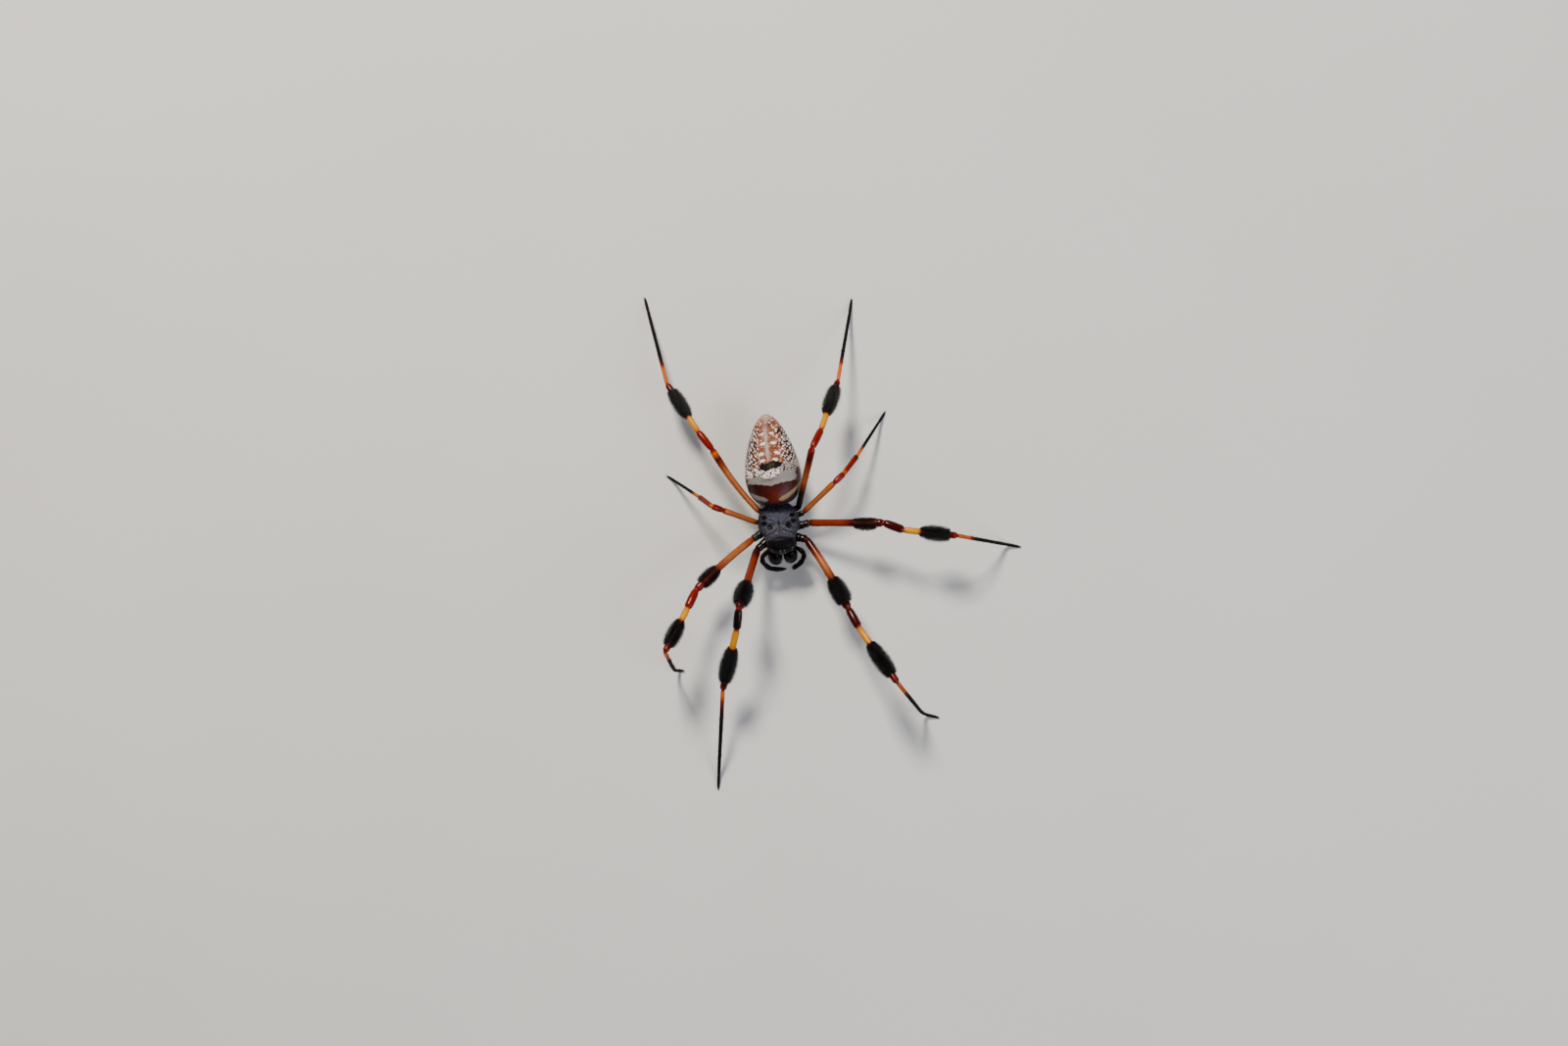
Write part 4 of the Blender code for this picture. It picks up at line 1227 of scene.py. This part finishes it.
def wobbled(x, y):
    """Shakes a pair of coordinates, so that rows of spots don't run straight."""
    return (
        x + 0.16 * np.sin(2.9 * y + 1.3 * x) + 0.07 * np.sin(7.7 * y - 2.0),
        y + 0.16 * np.sin(2.6 * x - 0.7 * y) + 0.07 * np.sin(8.3 * x + 1.0),
    )


def abdomen_colours(places):
    """Her markings: paired spots on copper, speckled sides, and the bands at the front, with painted sheen
    along the back and on the tail.
    """
    x, y, z = places.T
    share = np.clip(1 - (y - ABDOMEN_FRONT_Y) / ABDOMEN_LENGTH, 0, 1)
    half_width, middle, _ = abdomen_section(share)
    aside = np.abs(x - MARKS_MIDDLE)
    lean = np.degrees(np.arctan2((z - middle) * ABDOMEN_HALF_WIDTH / ABDOMEN_ABOVE, aside))
    around = np.radians(90 - lean) * half_width * 0.9
    u, v = wobbled(x, y)
    # A shift that makes the dots of the two sides differ
    side = np.where(x > MARKS_MIDDLE, 0.0, 40.0)
    on_top = lean > 0
    at_tail = smooth(20.7, 21.3, y)
    bare_tail = smooth(18.4, 19.4, y) * smooth(-10, 12, lean)
    # Speckles in slanting rows on the flanks, rounder ones on the tail and fine ones near the top
    slanted, abreast = (around - v) * 0.7071, (around + v) * 0.7071
    speckle = dotted(slanted / 0.76 + side, abreast / 0.46, 1.0, 0.14, 0.42, 11)
    speckle = speckle * (1 - at_tail) + at_tail * dotted(x / 0.62 + 70, z / 0.5, 1.1, 0.12, 0.40, 31)
    spotty = np.maximum(smooth(72, 56, lean), at_tail) * smooth(-80, -30, lean) * (1 - 0.9 * bare_tail)
    fine = dotted(around / 0.8 + side, v / 0.75, 1.4, 0.02, 0.20, 17) * smooth(82, 70, lean)
    # Painted highlight: a pale sheen streak along the middle of the back
    ragged = 0.40 + 0.12 * np.sin(y * 3.7) + 0.08 * np.sin(y * 9.1)
    sheen_streak = hump(x - MARKS_MIDDLE + 0.25, ragged) * smooth(12.2, 13.2, y) * smooth(19.8, 18.2, y) * on_top
    tints = layered(
        plain("copper", len(x)),
        ("oxblood", dotted(u / 0.8 + 9, v / 0.9, 1.2, 0.1, 0.5, 5) * 0.45),
        ("gold", dotted(u / 0.5 + 3, v / 0.55, 1.2, 0.05, 0.36, 8) * 0.6),
        ("maroon", smooth(62, 44, lean + 7 * np.sin(y * 2.3)) * (1 - bare_tail)),
        ("cream", np.maximum(speckle * spotty, fine * 0.85)),
        # Painted highlights: the sheen streak along the back, then a pale sheen on the top of the tail
        ("cream", sheen_streak * 0.4),
        ("cream", spot(x, y, 0, 21.2, 1.3, 0.8) * 0.3),
        ("maroon", spot(x, y, 0.35, 19.8, 0.75, 0.35) * 0.9),
    )
    for back, to_right, to_left, half_length in SPOT_PAIRS:
        for centre in (-to_right, to_left):
            beside = 0.8 * x + 0.2 * u - centre
            beyond = 0.8 * y + 0.2 * v - back + 0.2 * beside * np.sign(centre)
            away = np.hypot(beside / half_length, beyond / (half_length * 0.52))
            rim = ("maroon", smooth(1.5, 1.15, away) * on_top * 0.4)
            tints = layered(tints, rim, ("cream", smooth(1.12, 0.9, away) * on_top))
    return front_markings(tints, x, y, u, v, lean)


def front_markings(tints, x, y, u, v, lean):
    """The dark mark, the mottled row, and the pale, dark red and straw bands at the front."""
    top = smooth(4, 22, lean + 5 * np.sin(y * 4.1))
    upper = np.interp(x, *zip(*BAND_TOP)) + 0.05 * np.sin(u * 6.3)
    lower = np.interp(x, *zip(*BAND_BOTTOM)) + 0.05 * np.sin(u * 5.1 + 1)
    # The mottled row behind the pale band, and the dark oval mark behind that
    row = smooth(upper - 0.1, upper + 0.1, y) * smooth(upper + 1.9, upper + 1.5, v)
    beads = dotted((0.9 * x + 0.44 * y) / 0.52 + 50, (0.9 * y - 0.44 * x) / 0.44, 1.1, 0.24, 0.5, 21)
    larger = dotted((0.96 * x - 0.28 * y) / 0.8 + 50, (0.96 * y + 0.28 * x) / 0.6, 1.2, 0.1, 0.45, 25)
    pallor = 1 - 0.55 * smooth(0.8, 2.2, x)
    mark = np.hypot((u + 0.35) / 2.4, (v - 11.65 - 0.12 * u) / 0.80)
    # The pale band with its ragged ends, and the dark front
    band = smooth(lower - 0.05, lower + 0.05, y) * smooth(upper + 0.08, upper - 0.08, v)
    ragged = x + (0.12 * np.sin(y * 5.3) + 0.06 * np.sin(y * 12.1))
    pale = band * smooth(-5.2, -4.95, ragged) * smooth(4.7, 4.35, ragged)
    dark = smooth(lower + 0.05, lower - 0.05, y)
    # The crescent on each side at the front, and the book-lung covers underneath
    curve = y - 4.8 - np.where(x > 0, 0.11, 0.07) * x**2
    aside = np.abs(x + 0.5)
    thick = 0.46 * smooth(0.7, 1.9, aside) * smooth(7.5, 3.0, aside) + 0.02
    crescent = smooth(1.3, 0.6, np.abs(curve) / thick) * smooth(0.8, 1.2, aside) * smooth(-30, 0, lean)
    lungs = spot(np.abs(x), y, 2.3, 6.9, 0.9, 1.0) * smooth(-30, -50, lean)
    return layered(
        tints,
        ("maroon", row * top),
        ("cream", row * np.maximum(beads, larger) * top * pallor),
        ("jet", smooth(1.06, 0.9, mark) * top),
        ("olive", smooth(0.62, 0.3, np.hypot(mark, 0.4 * (u - 0.2))) * top),
        ("maroon", band),
        ("pearl", pale * top),
        ("oxblood", spot(x, y, -0.9, 8.9, 1.4, 0.35) * 0.55 * pale * top),
        ("oxblood", dark),
        ("jet", dark * smooth(-1.2, -4.2, x) * 0.6),
        ("rust", dark * spot(x, y, 0.3, 5.2, 1.7, 1.5) * 0.4),
        ("straw", crescent * (x > 0) * 0.55),
        ("pearl", crescent * (x <= 0) * 0.75),
        ("rust", lungs * 0.7),
        ("jet", smooth(-0.45, -0.8, curve) * 0.9),
    )


def make_abdomen():
    """Its skin has rows that lie closer together towards both ends."""
    pole = 0.06
    ends = (1 - np.cos(np.linspace(0, math.pi / 2, 41)[:-1])) * pole
    rows = np.concatenate((ends, np.linspace(pole, 1 - pole, 220), 1 - ends[::-1]))
    mesh = wrapped("abdomen_skin", abdomen_shape, rows, around=330)
    paint(mesh, abdomen_colours(read(mesh, "place")))
    add_piece("abdomen_skin", mesh, abdomen_skin(), ["abdomen"])


def make_abdomen_hair():
    def styled(along, turn, places, normals, ahead, draw):
        count = len(along)
        aims = strayed(normals, -ahead, stand=24, stray=8, draw=draw)
        lengths = 0.34 * draw.uniform(0.6, 1.2, count)
        widths = sizes().hair_width / MM * draw.uniform(0.5, 0.8, count)
        tints = layered(abdomen_colours(places), ("silver", np.full(count, 0.12)))
        return aims, lengths, widths, -normals * 0.15, tints

    add_coat("abdomen_hair", abdomen_shape, styled, down(), 501, most=16, parts=1)


def make_spinnerets():
    """Three pairs of silk nozzles on a low ring under the tail."""
    cones = [((0, 18.75, 7.0), (0, 19.4, 5.3), 1.42, 1.1)]
    for mirror in (1, -1):
        cones.append(((0.55 * mirror, 18.95, 5.9), (0.30 * mirror, 19.35, 4.2), 0.52, 0.2))
        cones.append(((0.60 * mirror, 19.75, 5.9), (0.35 * mirror, 20.25, 4.5), 0.48, 0.2))
        cones.append(((0.22 * mirror, 19.4, 5.8), (0.15 * mirror, 19.75, 4.75), 0.26, 0.14))
    for index, (root, tip, root_radius, tip_radius) in enumerate(cones):
        middle = tuple((a + b) / 2 for a, b in zip(root, tip))
        radii = (root_radius, (root_radius + tip_radius) * 0.52, tip_radius)
        shape = course_tube((root, middle, tip), radii)
        name = f"spinneret_{index}" if index else "spinneret_ring"
        replaced = () if index else ["spinnerets"]
        add_tube(
            name, shape, shield_cuticle(), rows=36, around=24, replaced=replaced,
            base="oxblood", over=("jet", 0.3, 0.9, 1.0),
        )
        make_stubble(f"{name}_hair", shape, 511 + index, density=24, length=0.28)


# Stage

CAMERA_HEIGHT = 1.2
# Real millimetres to a pixel of a 1600-pixel frame at the floor, which sets the lens
MM_PER_PIXEL = 0.194
FRAME_PIXELS = 1600
SENSOR = 36.0
# The camera is turned by this many degrees from her long axis, and its middle is this far from
# the middle of her thorax
CAMERA_TURN = -7.0
CAMERA_MIDDLE = (1.0, 0.17)
# The lamps: where each stands and how wide it is, in metres, its power in watts and its colour
LAMPS = {
    "key_light": ((-0.14, 0.52, 0.60), 0.16, 8.5, "FFF6EA"),
    "fill_light": ((0.50, -0.42, 0.55), 0.60, 5.0, "EEF2FF"),
}
ROOM_COLOUR = "EEF1F4"
ROOM_STRENGTH = 0.07
FLOOR_HALF_WIDTH = 3.0


def make_camera():
    data = bpy.data.cameras.new("camera")
    data.sensor_width = SENSOR
    data.lens = SENSOR * CAMERA_HEIGHT / MM / (MM_PER_PIXEL * FRAME_PIXELS)
    data.clip_start = 0.01
    camera = bpy.data.objects.new("camera", data)
    x, y = CAMERA_MIDDLE
    camera.location = ORIGIN + Vector((x * MM, y * MM, CAMERA_HEIGHT))
    camera.rotation_euler = (0.0, 0.0, math.radians(CAMERA_TURN))
    bpy.context.scene.collection.objects.link(camera)
    bpy.context.scene.camera = camera


def make_lights():
    for name, (place, width, watts, tint) in LAMPS.items():
        data = bpy.data.lights.new(name, "AREA")
        data.shape = "SQUARE"
        data.size = width
        data.energy = watts
        data.color = linear(tint)
        lamp = bpy.data.objects.new(name, data)
        lamp.location = place
        lamp.rotation_mode = "QUATERNION"
        lamp.rotation_quaternion = (-Vector(place)).to_track_quat("-Z", "Y")
        bpy.context.scene.collection.objects.link(lamp)
    world = bpy.data.worlds.new("studio")
    world.use_nodes = True
    background = world.node_tree.nodes["Background"]
    background.inputs["Color"].default_value = (*linear(ROOM_COLOUR), 1.0)
    background.inputs["Strength"].default_value = ROOM_STRENGTH
    bpy.context.scene.world = world


def make_floor():
    bm = bmesh.new()
    bmesh.ops.create_grid(bm, x_segments=1, y_segments=1, size=FLOOR_HALF_WIDTH)
    mesh = bpy.data.meshes.new("floor")
    bm.to_mesh(mesh)
    bm.free()
    mesh.materials.append(studio_floor())
    floor = bpy.data.objects.new("floor", mesh)
    bpy.context.scene.collection.objects.link(floor)


# Operators, one for each group of pieces


class SPIDER_OT_legs(bpy.types.Operator):
    """Adds one skin for each leg, from inside the body to the tip"""

    bl_idname = "spider.legs"
    bl_label = "Legs"

    def execute(self, context):
        for number, side in all_legs():
            make_leg_skin(number, side)
            make_claws(number, side)
        return {"FINISHED"}


class SPIDER_OT_brushes(bpy.types.Operator):
    """Adds the black brushes on the long legs"""

    bl_idname = "spider.brushes"
    bl_label = "Brushes"

    def execute(self, context):
        for kind, number in BRUSHES:
            for side in SIDES:
                make_brush(kind, number, side)
        return {"FINISHED"}


class SPIDER_OT_leg_hair(bpy.types.Operator):
    """Adds the short hair along the legs"""

    bl_idname = "spider.leg_hair"
    bl_label = "Leg hair"

    def execute(self, context):
        for number, side in all_legs():
            make_leg_hair(number, side)
        return {"FINISHED"}


class SPIDER_OT_shield(bpy.types.Operator):
    """Adds head and thorax with their down, and the plate underneath"""

    bl_idname = "spider.shield"
    bl_label = "Head and thorax"

    def execute(self, context):
        make_shield()
        make_shield_down()
        make_sternum()
        return {"FINISHED"}


class SPIDER_OT_eyes(bpy.types.Operator):
    """Adds the eight eyes"""

    bl_idname = "spider.eyes"
    bl_label = "Eyes"

    def execute(self, context):
        make_eyes()
        return {"FINISHED"}


class SPIDER_OT_mouth(bpy.types.Operator):
    """Adds the jaws, the fangs and the palps"""

    bl_idname = "spider.mouth"
    bl_label = "Jaws and palps"

    def execute(self, context):
        make_jaws()
        make_palps()
        make_mouth_lobes()
        return {"FINISHED"}


class SPIDER_OT_abdomen(bpy.types.Operator):
    """Adds the abdomen with its markings and hair, and the spinnerets"""

    bl_idname = "spider.abdomen"
    bl_label = "Abdomen"

    def execute(self, context):
        make_abdomen()
        make_abdomen_hair()
        make_spinnerets()
        return {"FINISHED"}


class SPIDER_OT_stage(bpy.types.Operator):
    """Adds the floor, the lights and the camera that looks down on her back"""

    bl_idname = "spider.stage"
    bl_label = "Stage"

    def execute(self, context):
        make_camera()
        make_lights()
        make_floor()
        return {"FINISHED"}


OPERATORS = (
    SPIDER_OT_stage,
    SPIDER_OT_legs,
    SPIDER_OT_brushes,
    SPIDER_OT_leg_hair,
    SPIDER_OT_shield,
    SPIDER_OT_eyes,
    SPIDER_OT_mouth,
    SPIDER_OT_abdomen,
)


class SPIDER_PT_panel(bpy.types.Panel):
    """The spider's sizes, colours and pieces"""

    bl_label = "Golden silk orb weaver"
    bl_idname = "SPIDER_PT_panel"
    bl_space_type = "VIEW_3D"
    bl_region_type = "UI"
    bl_category = "Spider"

    def draw(self, context):
        for group in (context.scene.spider_sizes, context.scene.spider_colours):
            box = self.layout.box()
            for name in group.__annotations__:
                box.prop(group, name)
        for operator in OPERATORS:
            self.layout.operator(operator.bl_idname)


CLASSES = (SpiderColours, SpiderSizes, *OPERATORS, SPIDER_PT_panel)


def register():
    for item in CLASSES:
        bpy.utils.register_class(item)
    bpy.types.Scene.spider_colours = PointerProperty(type=SpiderColours)
    bpy.types.Scene.spider_sizes = PointerProperty(type=SpiderSizes)


def unregister():
    del bpy.types.Scene.spider_sizes
    del bpy.types.Scene.spider_colours
    for item in reversed(CLASSES):
        bpy.utils.unregister_class(item)


def main():
    register()
    for operator in OPERATORS:
        group, name = operator.bl_idname.split(".")
        getattr(getattr(bpy.ops, group), name)()


if __name__ == "__main__":
    main()
